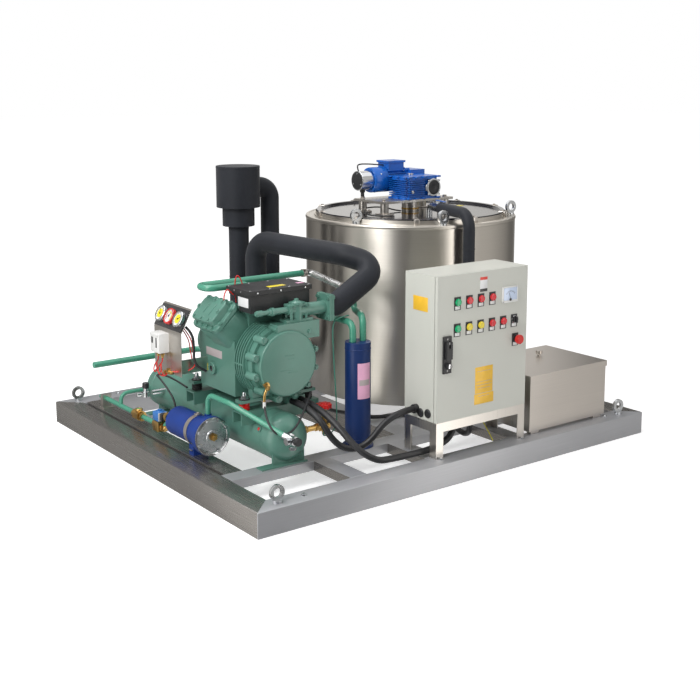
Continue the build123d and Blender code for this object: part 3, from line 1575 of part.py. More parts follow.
all_middle = (Align.CENTER, Align.CENTER, Align.CENTER)
pin_play = fork_pin_reach + 1
with BuildPart() as door_handle:
    with Locations(at(handle_x, fork_center_y, lever_low_z)):
        Box(lever_width, lever_thick, lever_length_down, align=(Align.CENTER, Align.CENTER, Align.MIN))
    with BuildSketch(Plane(origin=at(handle_x - lever_width / 2, fork_center_y, spindle_z), z_dir=to_right)):
        Circle(lever_thick / 2)
    extrude(amount=lever_width)
    with Locations(at(handle_x, fork_center_y, spindle_z)):
        Box(fork_slot, lever_thick + 2, 40, align=all_middle, mode=Mode.SUBTRACT)
    with BuildSketch(Plane(origin=at(handle_x - pin_play, fork_center_y, spindle_z), z_dir=to_right)):
        Circle(fork_pin + running_gap)
    extrude(amount=2 * pin_play, mode=Mode.SUBTRACT)
write(door_handle.part, "door_handle")

# Cable hoses from the compressor to the cabinet: held at both ends by their glands
hose_radius = 14
gland_radius = 19
largest_bend = 300


def hose_bends(points):
    """A bend radius for each corner: large, but leaving straight hose between the bends."""
    runs = [sqrt(sum((b - a) ** 2 for a, b in zip(start, end))) for start, end in zip(points, points[1:])]
    radii = []
    for corner in range(1, len(points) - 1):
        before = [(b - a) / runs[corner - 1] for a, b in zip(points[corner - 1], points[corner])]
        after = [(b - a) / runs[corner] for a, b in zip(points[corner], points[corner + 1])]
        cosine = sum(a * b for a, b in zip(before, after))
        half_turn = tan(0.5 * acos(cosine))
        room_before = runs[corner - 1] * (0.8 if corner == 1 else 0.45)
        room_after = runs[corner] * (0.8 if corner == len(points) - 2 else 0.45)
        radii.append(min(largest_bend, min(room_before, room_after) / half_turn))
    return radii


upper_gland_x = cabinet_x - 19
lower_gland_z = cabinet_z - 14
upper_route = [
    at(478, hose_face_y, hose_exit_z),
    at(478, 325, hose_exit_z),
    at(540, 262, 165),
    at(650, 225, 148),
    at(upper_gland_x - 122, 184, 288),
    at(upper_gland_x, 184, 288),
]
lower_route = [
    at(520, hose_face_y, hose_exit_z),
    at(520, 330, hose_exit_z),
    at(590, 124, 132),
    at(760, 122, 122),
    at(940, 124, 122),
    at(1080, 160, 150),
    at(1080, 160, lower_gland_z),
]
for hose_name, hose_route in (("cable_hose_upper", upper_route), ("cable_hose_lower", lower_route)):
    hose_radii = hose_bends(hose_route)
    print(hose_name, [round(radius) for radius in hose_radii])
    hose = pipe(hose_route, hose_radius, hose_radii)
    hose_length = hose.volume / (pi * hose_radius**2)
    print("length", round(hose_length))
    write(hose, hose_name)
upper_gland = turned(upper_route[-1], to_right, ((0, cabinet_x - upper_gland_x, gland_radius),))
lower_gland = turned(lower_route[-1], up, ((0, cabinet_z - lower_gland_z, gland_radius),))
write(group([upper_gland, lower_gland]), "cable_glands")
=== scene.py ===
# %% [markdown]
# A flake ice machine stands on its steel skid: an insulated drum, a compressor set, a switch
# cabinet and a water tank. All of it could be modelled here from nothing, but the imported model
# already has every solid in its true place. So it is loaded first and never changed: each piece
# below gives a solid its finish, or is rebuilt in finer detail around it.

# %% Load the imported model
import json
from math import atan2, cos, pi, radians, sin

import bmesh
import bpy
from mathutils import Matrix, Vector

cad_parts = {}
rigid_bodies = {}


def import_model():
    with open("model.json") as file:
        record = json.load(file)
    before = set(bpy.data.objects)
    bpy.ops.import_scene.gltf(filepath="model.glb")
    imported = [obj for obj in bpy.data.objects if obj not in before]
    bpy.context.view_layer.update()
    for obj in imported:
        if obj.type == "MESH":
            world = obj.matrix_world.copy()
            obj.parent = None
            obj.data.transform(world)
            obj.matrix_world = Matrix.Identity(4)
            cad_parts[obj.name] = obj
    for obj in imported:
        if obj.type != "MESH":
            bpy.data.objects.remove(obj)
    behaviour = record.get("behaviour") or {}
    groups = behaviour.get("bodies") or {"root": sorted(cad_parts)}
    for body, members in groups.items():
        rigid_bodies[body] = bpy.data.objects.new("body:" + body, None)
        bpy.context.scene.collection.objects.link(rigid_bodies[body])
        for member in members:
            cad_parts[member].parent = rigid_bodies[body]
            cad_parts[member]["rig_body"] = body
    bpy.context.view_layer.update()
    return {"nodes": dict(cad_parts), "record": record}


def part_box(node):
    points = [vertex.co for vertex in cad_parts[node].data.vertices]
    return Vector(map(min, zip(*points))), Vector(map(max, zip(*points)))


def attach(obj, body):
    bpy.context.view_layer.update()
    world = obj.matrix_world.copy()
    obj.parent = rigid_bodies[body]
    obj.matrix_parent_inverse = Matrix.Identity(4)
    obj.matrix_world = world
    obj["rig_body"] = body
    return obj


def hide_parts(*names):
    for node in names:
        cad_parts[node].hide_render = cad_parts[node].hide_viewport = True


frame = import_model()
nodes = frame["nodes"]
slot_of = {part["node"]: part["material_slot"] for part in frame["record"]["subparts"]}

# %% [markdown]
# The camera stands where the photographer stood, a little above the drum and to the left of the
# cabinet. It could be set by eye, but then pieces would be bent to meet the picture. Its height,
# turn and tilt were found from the skid's corners instead, and the lens is shifted a little because
# the picture is cropped.

# %% Camera
skid_corner = Vector((-1.05, -0.9, 0.0))
camera_place = skid_corner + Vector((-2.075, -3.321, 1.629))
camera_turn = radians(-36.96)
camera_tilt = radians(90 - 9.49)
camera_data = bpy.data.cameras.new("photo_camera")
camera_data.sensor_width = 36
camera_data.lens = 59.4
camera_data.shift_x = -0.0043
camera_data.shift_y = -0.1143
camera = bpy.data.objects.new("photo_camera", camera_data)
bpy.context.scene.collection.objects.link(camera)
camera.location = camera_place
camera.rotation_euler = (camera_tilt, 0, camera_turn)
bpy.context.scene.camera = camera
print("camera", [round(v, 3) for v in camera_place])

# %% [markdown]
# Every material, and the sky too, is a small network of nodes. It could be clicked together in the
# shader editor. Here one short helper adds a node and sets its sockets by name, so that the cells
# below read like a list of settings.

# %% Shader nodes by name
scene = bpy.context.scene
scene.view_settings.view_transform = "Standard"


def add_node(tree, kind, **settings):
    """One shader node; settings that are socket names set the sockets."""
    node = tree.nodes.new(kind)
    for key, value in settings.items():
        if hasattr(node, key):
            setattr(node, key, value)
        else:
            fill_in(node, **{key: value})
    return node


def join(start, out, end, socket):
    """Link one node's output to another node's input."""
    start.id_data.links.new(start.outputs[out], end.inputs[socket])


def fill_in(node, **values):
    """Set a node's input sockets; an underscore stands for a space."""
    for key, value in values.items():
        node.inputs[key.replace("_", " ")].default_value = value


print("view", scene.view_settings.view_transform)

# %% [markdown]
# The studio is a plain room with an even white sky. The white could come from strong light, but
# that would bleach the machine too. So the sky is pure white only for rays that come straight from
# the camera, from a mirror or through glass. The light that falls on the object is softer, and
# colours render about as they are written.

# %% Sky
def seen_directly(tree):
    """A value of one for rays from the camera, a mirror or through glass."""
    path = add_node(tree, "ShaderNodeLightPath")
    first = add_node(tree, "ShaderNodeMath", operation="MAXIMUM")
    second = add_node(tree, "ShaderNodeMath", operation="MAXIMUM")
    join(path, "Is Camera Ray", first, 0)
    join(path, "Is Glossy Ray", first, 1)
    join(first, 0, second, 0)
    join(path, "Is Transmission Ray", second, 1)
    return second.outputs[0]


sky_light = 0.62
world = bpy.data.worlds.new("studio_sky")
scene.world = world
world.use_nodes = True
sky = world.node_tree
sky_strength = add_node(sky, "ShaderNodeMapRange")
sky_strength.inputs["To Min"].default_value = sky_light
sky.links.new(seen_directly(sky), sky_strength.inputs["Value"])
sky.nodes["Background"].inputs["Color"].default_value = (1, 1, 1, 1)
sky.links.new(sky_strength.outputs[0], sky.nodes["Background"].inputs["Strength"])
print("sky light", sky_light)

# %% [markdown]
# The floor is pale paper that keeps the machine's shadow. Plain paper would look grey beside the
# white sky, so a part of its brightness is a glow that only the camera sees. Shiny surfaces don't
# see the floor at all, because it would hide the lower half of the backdrop made below.

# %% Floor
floor_glow = 0.50
floor_half = 40


def floor_finish():
    """Pale matt floor that keeps the shadow and fades into the white sky."""
    material = bpy.data.materials.new("floor_paper")
    material.use_nodes = True
    tree = material.node_tree
    tree.nodes.clear()
    path = add_node(tree, "ShaderNodeLightPath")
    paper = add_node(tree, "ShaderNodeBsdfDiffuse", Color=(0.82, 0.82, 0.82, 1))
    glow = add_node(tree, "ShaderNodeEmission", Color=(1, 1, 1, 1))
    lift = add_node(tree, "ShaderNodeMath", operation="MULTIPLY")
    lift.inputs[1].default_value = floor_glow
    both = add_node(tree, "ShaderNodeAddShader")
    out = add_node(tree, "ShaderNodeOutputMaterial")
    join(path, "Is Camera Ray", lift, 0)
    join(lift, 0, glow, "Strength")
    join(paper, 0, both, 0)
    join(glow, 0, both, 1)
    join(both, 0, out, "Surface")
    return material


def link_mesh(name, bm):
    """Turn a finished bmesh into an object at the origin."""
    mesh = bpy.data.meshes.new(name)
    bm.to_mesh(mesh)
    bm.free()
    made = bpy.data.objects.new(name, mesh)
    scene.collection.objects.link(made)
    return made


floor_mesh = bmesh.new()
bmesh.ops.create_grid(floor_mesh, x_segments=1, y_segments=1, size=floor_half)
floor = link_mesh("floor", floor_mesh)
floor.data.materials.append(floor_finish())
floor.visible_glossy = False
print("floor", floor_half * 2, "m wide, glow", floor_glow)

# %% [markdown]
# Brushed steel only looks like steel when it has something to reflect. Panels could be stood about
# the machine, as in a studio. Here one tall round backdrop does their work. Its tones are a colour
# ramp that runs once round: dark where the photographer stands, one bright strip to each side, and
# darker again at the far side. Each pair is a share of the round and a strength.

# %% Backdrop tones
brightest = 2.6
ramp_start = 90 + 39.8
surround_tones = (
    (0.000, 0.92), (0.045, 0.85), (0.062, 0.13), (0.100, 0.12), (0.165, 0.27), (0.230, 0.38),
    (0.290, 0.34), (0.315, 0.75), (0.340, 1.00), (0.357, 0.42), (0.372, 0.80), (0.380, 2.40),
    (0.420, 2.60), (0.430, 0.30), (0.446, 0.12), (0.520, 0.06), (0.608, 0.07), (0.634, 0.20),
    (0.650, 2.20), (0.688, 2.40), (0.698, 0.60), (0.725, 0.50), (0.765, 0.50), (0.790, 0.42),
    (0.835, 0.28), (0.860, 0.14), (0.895, 0.14), (0.925, 0.62), (1.000, 0.92),
)
print("backdrop tones", len(surround_tones))

# %% [markdown]
# The tones become light. A radial gradient reads the direction round the machine, the ramp turns it
# into a brightness, and a warm tint is multiplied in, because the photograph's steel is a little
# warm.

# %% Backdrop light
def scaled(colour, factor):
    """A colour made lighter or darker, with full alpha."""
    return tuple(min(1.0, channel * factor) for channel in colour[:3]) + (1.0,)


def surround_finish():
    """Light whose strength changes with the direction round the machine."""
    material = bpy.data.materials.new("surround_light")
    material.use_nodes = True
    tree = material.node_tree
    tree.nodes.clear()
    place = add_node(tree, "ShaderNodeTexCoord")
    turn = add_node(tree, "ShaderNodeMapping")
    turn.inputs["Rotation"].default_value = (0, 0, radians(ramp_start))
    round_about = add_node(tree, "ShaderNodeTexGradient", gradient_type="RADIAL")
    tones = tree.nodes.new("ShaderNodeValToRGB")
    tones.color_ramp.elements.remove(tones.color_ramp.elements[1])
    tones.color_ramp.elements[0].position = surround_tones[0][0]
    tones.color_ramp.elements[0].color = scaled((1, 1, 1), surround_tones[0][1] / brightest)
    for position, tone in surround_tones[1:]:
        tones.color_ramp.elements.new(position).color = scaled((1, 1, 1), tone / brightest)
    warm = add_node(tree, "ShaderNodeMix", data_type="RGBA", blend_type="MULTIPLY")
    warm.inputs[0].default_value = 1.0
    warm.inputs[7].default_value = (1.0, 0.975, 0.935, 1)
    glow = add_node(tree, "ShaderNodeEmission", Strength=brightest)
    out = add_node(tree, "ShaderNodeOutputMaterial")
    join(place, "Object", turn, "Vector")
    join(turn, 0, round_about, "Vector")
    join(round_about, "Fac", tones, 0)
    join(tones, "Color", warm, 6)
    join(warm, 2, glow, "Color")
    join(glow, 0, out, "Surface")
    return material


print("backdrop's brightest strip", brightest)

# %% [markdown]
# The ring itself is a circle pulled up into a wall. It reaches below the floor, which shiny
# surfaces don't see, so that the strips run the whole height of an upright sheet. It could light
# the machine as well, but then its dark side would shade the front. So only shiny surfaces see it,
# and it gives no light and no shadow.

# %% Backdrop ring
surround_radius = 2.5
surround_foot = -3
surround_height = 6.2
ring = bmesh.new()
foot_place = Matrix.Translation((0, 0, surround_foot))
bmesh.ops.create_circle(ring, segments=96, radius=surround_radius, matrix=foot_place)
rim = bmesh.ops.extrude_edge_only(ring, edges=ring.edges)["geom"]
rim_verts = [part for part in rim if isinstance(part, bmesh.types.BMVert)]
bmesh.ops.translate(ring, verts=rim_verts, vec=(0, 0, surround_height))
surround = link_mesh("surround", ring)
surround.data.materials.append(surround_finish())
surround.visible_camera = False
surround.visible_diffuse = False
surround.visible_transmission = False
surround.visible_shadow = False
print("backdrop", surround_radius, "m round,", surround_height, "m high")

# %% [markdown]
# The photograph has soft light from the upper left and weak shadows. Small lamps would throw hard
# black shadows, so both lamps are large squares: the key lamp at the left, and a fill lamp above.

# %% Studio lamps
def soft_lamp(name, place, aim, size, watts):
    """A large square lamp turned towards a point."""
    data = bpy.data.lights.new(name, "AREA")
    data.shape = "SQUARE"
    data.size = size
    data.energy = watts
    lamp = bpy.data.objects.new(name, data)
    scene.collection.objects.link(lamp)
    lamp.location = place
    lamp.rotation_euler = (Vector(aim) - Vector(place)).to_track_quat("-Z", "Y").to_euler()
    return lamp


key_lamp = soft_lamp("key_lamp", (-5.3, -1.9, 4.4), (0, 0, 0.5), 1.9, 210)
top_lamp = soft_lamp("top_lamp", (-1.5, 1.0, 5.0), (0, 0, 0.5), 3.0, 110)
print("lamps", key_lamp.data.energy, top_lamp.data.energy)

# %% [markdown]
# Brushed steel has long fine streaks along its grain; paint and plastic have slow changes of tone
# and a fine ripple. Each material could carry its own copy of those nodes. A node group holds them
# once, behind named inputs, so that one change reaches every material. This helper makes the empty
# group.

# %% Node groups with named sockets
def effect_group(name, inputs, outputs):
    """An empty node group with named sockets, and its two end nodes."""
    group = bpy.data.node_groups.new(name, "ShaderNodeTree")
    for socket, kind in inputs:
        group.interface.new_socket(name=socket, in_out="INPUT", socket_type=kind)
    for socket, kind in outputs:
        group.interface.new_socket(name=socket, in_out="OUTPUT", socket_type=kind)
    return group, group.nodes.new("NodeGroupInput"), group.nodes.new("NodeGroupOutput")


effect_outputs = (
    ("Color", "NodeSocketColor"), ("Roughness", "NodeSocketFloat"), ("Height", "NodeSocketFloat"),
)
effect_inputs = (
    ("Vector", "NodeSocketVector"),
    ("Stretch", "NodeSocketVector"),
    ("Light", "NodeSocketColor"),
    ("Dark", "NodeSocketColor"),
    ("Smooth", "NodeSocketFloat"),
    ("Rough", "NodeSocketFloat"),
    ("Cloud scale", "NodeSocketFloat"),
)
print("effect sockets", len(effect_inputs), "in,", len(effect_outputs), "out")

# %% [markdown]
# Both effects are one recipe: fine noise, stretched along the grain, is mixed with slow clouds. Two
# separate recipes would say the same twice. The share says which of them rules the tone: in brushed
# steel the streaks do, in paint the clouds.

# %% Two surface effects
noise_low, noise_high = 0.35, 0.65


def surface_effect(name, fine_detail, cloud_share):
    """Fine stretched noise over slow clouds; the share says which of them rules the tone."""
    group, start, end = effect_group(name, effect_inputs, effect_outputs)
    stretched = add_node(group, "ShaderNodeVectorMath", operation="MULTIPLY")
    fine = add_node(group, "ShaderNodeTexNoise", Scale=1.0, Detail=fine_detail, Roughness=0.6)
    cloud = add_node(group, "ShaderNodeTexNoise", Detail=4.0, Roughness=0.55)
    tone = add_node(group, "ShaderNodeMix", data_type="FLOAT")
    spread = add_node(group, "ShaderNodeMapRange")
    colour = add_node(group, "ShaderNodeMix", data_type="RGBA")
    gloss = add_node(group, "ShaderNodeMix", data_type="FLOAT")
    tone.inputs[0].default_value = cloud_share
    fill_in(spread, From_Min=noise_low, From_Max=noise_high)
    join(start, "Vector", stretched, 0)
    join(start, "Stretch", stretched, 1)
    join(stretched, 0, fine, "Vector")
    join(start, "Vector", cloud, "Vector")
    join(start, "Cloud scale", cloud, "Scale")
    join(fine, "Fac", tone, 2)
    join(cloud, "Fac", tone, 3)
    join(tone, 0, spread, "Value")
    join(spread, 0, colour, 0)
    join(start, "Dark", colour, 6)
    join(start, "Light", colour, 7)
    join(spread, 0, gloss, 0)
    join(start, "Smooth", gloss, 2)
    join(start, "Rough", gloss, 3)
    join(colour, 2, end, "Color")
    join(gloss, 0, end, "Roughness")
    join(fine, "Fac", end, "Height")
    return group


grain_effect = surface_effect("brushed_grain", 5.0, 0.35)
paint_effect = surface_effect("paint_tone", 2.0, 0.8)
print("effects", grain_effect.name, paint_effect.name)

# %% [markdown]
# A finish is one Principled shader fed by one effect. Its colour varies by the spread and its
# roughness between two gloss values, and a low bump lets the surface catch light. Metallic, coat
# and sheen could come through links as well, but an export drops them there, so they are set on the
# shader itself. The stretch of the noise says which way the grain runs.

# %% One finish from one effect
along_x = (3, 420, 420)
along_y = (420, 3, 420)
along_z = (420, 420, 3)
around_z = (5, 5, 700)
no_grain = (260, 260, 260)
ripple_height = 0.0006
coat_roughness = 0.12


def finish(
    name, colour, spread, gloss, cloud, bump, stretch=no_grain, metallic=0.0, coat=0.0,
    sheen=0.0, effect=paint_effect
):
    """A material: an effect group feeds colour, roughness and bump of one Principled shader."""
    material = bpy.data.materials.new(name)
    material.use_nodes = True
    tree = material.node_tree
    shader = tree.nodes["Principled BSDF"]
    place = add_node(tree, "ShaderNodeTexCoord")
    group = tree.nodes.new("ShaderNodeGroup")
    group.node_tree = effect
    fill_in(
        group, Stretch=stretch, Light=scaled(colour, 1 + spread), Dark=scaled(colour, 1 - spread),
        Smooth=gloss[0], Rough=gloss[1], Cloud_scale=cloud
    )
    ripple = add_node(tree, "ShaderNodeBump", Strength=bump, Distance=ripple_height)
    join(place, "Object", group, "Vector")
    join(group, "Color", shader, "Base Color")
    join(group, "Roughness", shader, "Roughness")
    join(group, "Height", ripple, "Height")
    join(ripple, "Normal", shader, "Normal")
    fill_in(
        shader, Metallic=metallic, Coat_Weight=coat, Coat_Roughness=coat_roughness,
        Sheen_Weight=sheen, Specular_IOR_Level=0.2 if sheen else 0.5
    )
    return material


print("stretches", along_x, along_y, along_z, around_z)

# %% [markdown]
# The colours were matched to the photograph piece by piece. The metals differ in grain: it runs
# along each frame beam, level on folded sheet, and round the drum, while zinc, brass and castings
# have none. The frame's steel comes in two copies: a lighter one for its front and top faces, which
# is a painted light, and a darker, glossier one for its side faces, which is a painted shade. One
# plain grey each would look like a toy. Each entry gives the base colour, how far it varies, its
# gloss range, the size of its clouds and its relief.

# %% Metals
finishes = {
    # Lighter copy of the frame's steel for its front and top faces: a painted light.
    "frame_x_lit": finish(
        "frame_steel_x_lit", (0.425, 0.43, 0.45), spread=0.09, gloss=(0.36, 0.50), stretch=along_x,
        cloud=2.5, bump=0.10, metallic=0.5, effect=grain_effect,
    ),
    # Darker, glossier copy of the same steel for the side faces: a painted shade, with its grain
    # front to back.
    "frame_y_shaded": finish(
        "frame_steel_y_shaded", (0.35, 0.335, 0.32), spread=0.035, gloss=(0.22, 0.30), stretch=along_y,
        cloud=2.5, bump=0.02, metallic=0.85, effect=grain_effect,
    ),
    "drum_steel": finish(
        "drum_steel", (0.70, 0.66, 0.60), spread=0.04, gloss=(0.32, 0.38), stretch=around_z,
        cloud=0.8, bump=0.10, metallic=1.0, effect=grain_effect,
    ),
    "sheet_steel": finish(
        "sheet_steel", (0.70, 0.655, 0.61), spread=0.035, gloss=(0.28, 0.34), stretch=along_x,
        cloud=2.0, bump=0.03, metallic=1.0, effect=grain_effect,
    ),
    "sheet_z": finish(
        "sheet_steel_z", (0.66, 0.63, 0.59), spread=0.04, gloss=(0.26, 0.34), stretch=along_z,
        cloud=2.0, bump=0.03, metallic=1.0, effect=grain_effect,
    ),
    "bright_zinc": finish(
        "bright_zinc", (0.66, 0.68, 0.70), spread=0.10, gloss=(0.18, 0.34), cloud=18, bump=0.12,
        metallic=1.0,
    ),
    "cast_steel": finish(
        "cast_steel", (0.30, 0.30, 0.31), spread=0.15, gloss=(0.40, 0.55), cloud=12, bump=0.40,
        metallic=1.0,
    ),
    "brass_metal": finish(
        "brass_metal", (0.62, 0.40, 0.14), spread=0.18, gloss=(0.24, 0.42), cloud=22, bump=0.25,
        metallic=1.0,
    ),
}
finishes["frame_steel"] = finishes["frame_x_lit"]
print("metals", len(finishes))

# %% [markdown]
# The castings wear a grey green, the pipes a fresher green, the drive a bright blue and the drier
# and the separator two darker ones. Paint hides the metal, so it isn't metallic: a thin coat gives
# it its shine, and broad clouds its uneven thickness.

# %% Paints
finishes |= {
    "green_paint": finish(
        "green_paint", (0.094, 0.232, 0.182), spread=0.08, gloss=(0.30, 0.44), cloud=7, bump=0.30,
        coat=0.3,
    ),
    "green_pipe": finish(
        "green_pipe", (0.065, 0.30, 0.20), spread=0.10, gloss=(0.25, 0.40), cloud=9, bump=0.25,
        coat=0.35,
    ),
    "blue_paint": finish(
        "blue_paint", (0.004, 0.108, 0.47), spread=0.12, gloss=(0.24, 0.38), cloud=9, bump=0.25,
        coat=0.25,
    ),
    "drier_blue": finish(
        "drier_blue", (0.003, 0.034, 0.22), spread=0.12, gloss=(0.30, 0.42), cloud=9, bump=0.25,
    ),
    "navy_paint": finish(
        "navy_paint", (0.003, 0.026, 0.13), spread=0.12, gloss=(0.38, 0.48), cloud=5, bump=0.20,
    ),
    "grey_paint": finish(
        "grey_paint", (0.58, 0.585, 0.53), spread=0.03, gloss=(0.36, 0.48), cloud=2, bump=0.22,
        coat=0.1,
    ),
}
print("with paints", len(finishes))

# %% [markdown]
# Plastics, rubber and foam differ most in gloss: the drum's cover is lacquer black, cable sleeves
# are half matt, and foam has open pores and a faint sheen like cloth. One black for all would
# flatten them into one shape.

# %% Plastics and foam
foam_pores = (90, 90, 90)
finishes |= {
    "black_gloss": finish(
        "black_gloss", (0.010, 0.010, 0.016), spread=0.15, gloss=(0.08, 0.12), cloud=3, bump=0.0,
        coat=0.3,
    ),
    "black_plastic": finish(
        "black_plastic", (0.022, 0.022, 0.024), spread=0.20, gloss=(0.38, 0.52), cloud=8, bump=0.30,
    ),
    "black_foam": finish(
        "black_foam", (0.019, 0.021, 0.027), spread=0.18, gloss=(0.50, 0.64), stretch=foam_pores,
        cloud=5, bump=0.45, sheen=0.10,
    ),
    "buffer_rubber": finish(
        "buffer_rubber", (0.020, 0.020, 0.020), spread=0.20, gloss=(0.60, 0.75), cloud=9, bump=0.30,
    ),
    "pale_plastic": finish(
        "pale_plastic", (0.56, 0.56, 0.54), spread=0.05, gloss=(0.40, 0.50), cloud=6, bump=0.20,
    ),
    "red_plastic": finish(
        "red_plastic", (0.60, 0.015, 0.012), spread=0.10, gloss=(0.22, 0.34), cloud=14, bump=0.12,
        coat=0.3,
    ),
    "white_plastic": finish(
        "white_plastic", (0.76, 0.76, 0.74), spread=0.03, gloss=(0.30, 0.42), cloud=8, bump=0.12,
    ),
}
print("finishes", len(finishes))

# %% [markdown]
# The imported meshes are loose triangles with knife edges. Real folded sheet, tube and castings have
# a small radius on every edge, and that thin bright line is what makes metal look real. A piece
# could be smoothed all over, but then flat faces would look swollen. So its triangles are merged
# into whole faces, and only edges that turn quickly stay sharp.

# %% Merge and shade
sharp_turn = 34
flat_turn = 1.5


def merged_copy(node):
    """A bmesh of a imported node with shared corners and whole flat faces."""
    bm = bmesh.new()
    bm.from_mesh(nodes[node].data)
    bmesh.ops.remove_doubles(bm, verts=bm.verts, dist=0.00001)
    bmesh.ops.dissolve_limit(bm, angle_limit=radians(flat_turn), verts=bm.verts, edges=bm.edges)
    return bm


def shade(bm, sharp=sharp_turn):
    """Smooth faces with sharp edges where the surface turns quickly."""
    for face in bm.faces:
        face.smooth = True
    for edge in bm.edges:
        edge.smooth = len(edge.link_faces) == 2 and edge.calc_face_angle(0) < radians(sharp)


print("edges that turn more than", sharp_turn, "degrees stay sharp")

# %% [markdown]
# Each solid gets a copy that rides on the same body and takes its place in the picture. Its edges
# could be rounded in the mesh for good. A Bevel modifier is kinder: it finds the edges by their
# angle, and its width can be changed later.

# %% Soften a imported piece
def settle(piece, body, slot, *materials):
    """Give a new piece its materials and its body; the slot is not used."""
    for material in materials:
        piece.data.materials.append(material)
    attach(piece, body)
    return piece


def soften(node, material, edge=0.0012, segments=2):
    """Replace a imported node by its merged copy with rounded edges."""
    bm = merged_copy(node)
    shade(bm)
    piece = link_mesh(f"{node}_finished", bm)
    settle(piece, nodes[node]["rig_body"], slot_of[node], material)
    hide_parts(node)
    if edge:
        bevel = piece.modifiers.new("edge_radius", "BEVEL")
        bevel.width = edge
        bevel.segments = segments
        bevel.limit_method = "ANGLE"
        bevel.angle_limit = radians(40)
        bevel.harden_normals = True
    return piece


print("soften: a copy, a bevel and a finish")

# %% [markdown]
# Edges differ: heavy castings have a radius of 6 mm, folded sheet about 2 mm and small fittings
# less than 1 mm. A table of the exceptions is shorter than a line for each of the sixty solids.
# Solids that are made afresh further down are left out here. Frame beams that run front to back get
# a second material, because their grain runs the other way, and because it is the darker copy of the
# frame's steel, a painted shade on those side faces.

# %% Every imported piece
fine_edge = 0.0008
side_member = 0.86


def split_sideways(piece, sideways):
    """Faces of beams that run front to back take the second material."""
    piece.data.materials.append(sideways)
    for polygon in piece.data.polygons:
        sideways_face = abs(polygon.normal.x) > 0.5 or abs(polygon.center.x) > side_member
        polygon.material_index = int(sideways_face)


edge_sizes = {
    "skid_cross_members": 0.003, "cabinet_box": 0.002, "cabinet_door": 0.002,
    "compressor_body": 0.006, "motor_end_cover": 0.004, "cylinder_heads": 0.006, "receiver": 0.0015,
    "gearbox": 0.002, "terminal_box": 0.002, "tank_lid": 0.002, "water_tank": 0.0015,
}
special_finish = {
    "discharge_line": "green_pipe", "liquid_line": "green_pipe", "motor_rotor": "cast_steel",
    "gauge_panel": "sheet_z", "cabinet_stand": "sheet_z", "drive_bridge": "sheet_z",
    "filter_drier": "drier_blue",
}
made_afresh = {
    "skid_frame", "compressor_mounts", "solenoid_coil", "red_handwheel", "pressure_gauges",
    "pressure_control", "indicator_lamps", "cable_hose_upper", "cable_hose_lower",
}
softened = {}
for node in nodes:
    if node in made_afresh:
        continue
    finish_name = special_finish.get(node, slot_of[node])
    softened[node] = soften(node, finishes[finish_name], edge_sizes.get(node, fine_edge))
# The cross members' side faces take the darker steel: a painted shade, with its grain front to back.
split_sideways(softened["skid_cross_members"], finishes["frame_y_shaded"])
print("softened", len(softened), "of", len(nodes))

# %% [markdown]
# The receiver's front service valve is bare zinc, while the others are painted. It could be cut off
# as a piece of its own; its faces are found by where they lie instead and take a second material.
# Glossy black parts mirror the white studio as lacquer does, so their shader gets a higher index of
# refraction.

# %% Front valve and black lacquer
valve_right, valve_back = -0.60, -0.54
lacquer_index = 2.2
front_valve = softened["receiver_valves"].data
front_valve.materials.append(finishes["bright_zinc"])
for polygon in front_valve.polygons:
    in_front = polygon.center.x < valve_right and polygon.center.y < valve_back
    polygon.material_index = int(in_front)
lacquer = finishes["black_gloss"].node_tree.nodes["Principled BSDF"]
lacquer.inputs["IOR"].default_value = lacquer_index
print("front valve right of", valve_right, "lacquer index", lacquer_index)

# %% [markdown]
# The outer frame of the skid is four square steel tubes mitred at the corners. Four separate boxes
# would overlap there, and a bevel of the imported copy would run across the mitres. So it is made
# afresh: one plane is inset by a tube's width, its middle is taken out, and the ring is pulled up
# to the frame's height. Only its long edges are rounded.

# %% Outer frame
frame_low, frame_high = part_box("skid_frame")
beam_width = 0.1
frame_edge = 0.0035
rail = bmesh.new()
plan = Matrix.Translation((0, 0, frame_low[2])) @ Matrix.Diagonal((*frame_high[:2], 1, 1))
bmesh.ops.create_grid(rail, x_segments=1, y_segments=1, size=1, matrix=plan)
middle = rail.faces[:]
bmesh.ops.inset_region(
    rail, faces=middle, thickness=beam_width, use_even_offset=True, use_boundary=True,
)
bmesh.ops.delete(rail, geom=middle, context="FACES")
risen = bmesh.ops.extrude_face_region(rail, geom=rail.faces[:])
top_corners = [part for part in risen["geom"] if isinstance(part, bmesh.types.BMVert)]
bmesh.ops.translate(rail, verts=top_corners, vec=(0, 0, frame_high[2] - frame_low[2]))
long_edges = [edge for edge in rail.edges if edge.calc_face_angle(0) > radians(60)]
bmesh.ops.bevel(
    rail, geom=long_edges, offset=frame_edge, affect="EDGES", segments=3, profile=0.5, material=-1,
    clamp_overlap=True
)
bmesh.ops.recalc_face_normals(rail, faces=rail.faces)
shade(rail)
print("outer frame", len(rail.faces), "faces")

# %% [markdown]
# The ring takes the frame's place and its finish. Its two side beams get the steel whose grain runs
# front to back, which is also the darker copy that paints shade on them; faces are told apart by
# where their middles lie, which is simpler than two separate pieces.

# %% Outer frame on its body
outer_frame = settle(
    link_mesh("skid_frame_finished", rail), "machine", "frame_steel", finishes["frame_x_lit"],
)
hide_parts("skid_frame")
# The side beams take the darker steel: a painted shade, with its grain front to back.
outer_frame.data.materials.append(finishes["frame_y_shaded"])
for polygon in outer_frame.data.polygons:
    beside = abs(polygon.center.x) > frame_high[0] - beam_width
    side_beam = beside and abs(polygon.center.y) < 0.5 * frame_high[1]
    polygon.material_index = int(side_beam)
side_faces = sum(polygon.material_index for polygon in outer_frame.data.polygons)
print("side beams", side_faces, "faces")

# %% [markdown]
# The drum's jacket is brushed round and round, so a lamp's reflection is smeared up and down into
# tall bright bands. Painted bands would stay where they are when the view moves. Anisotropy does it
# truly: the shader is rougher along the drum's height than around it, and a UV map of the jacket
# tells it which way is up.

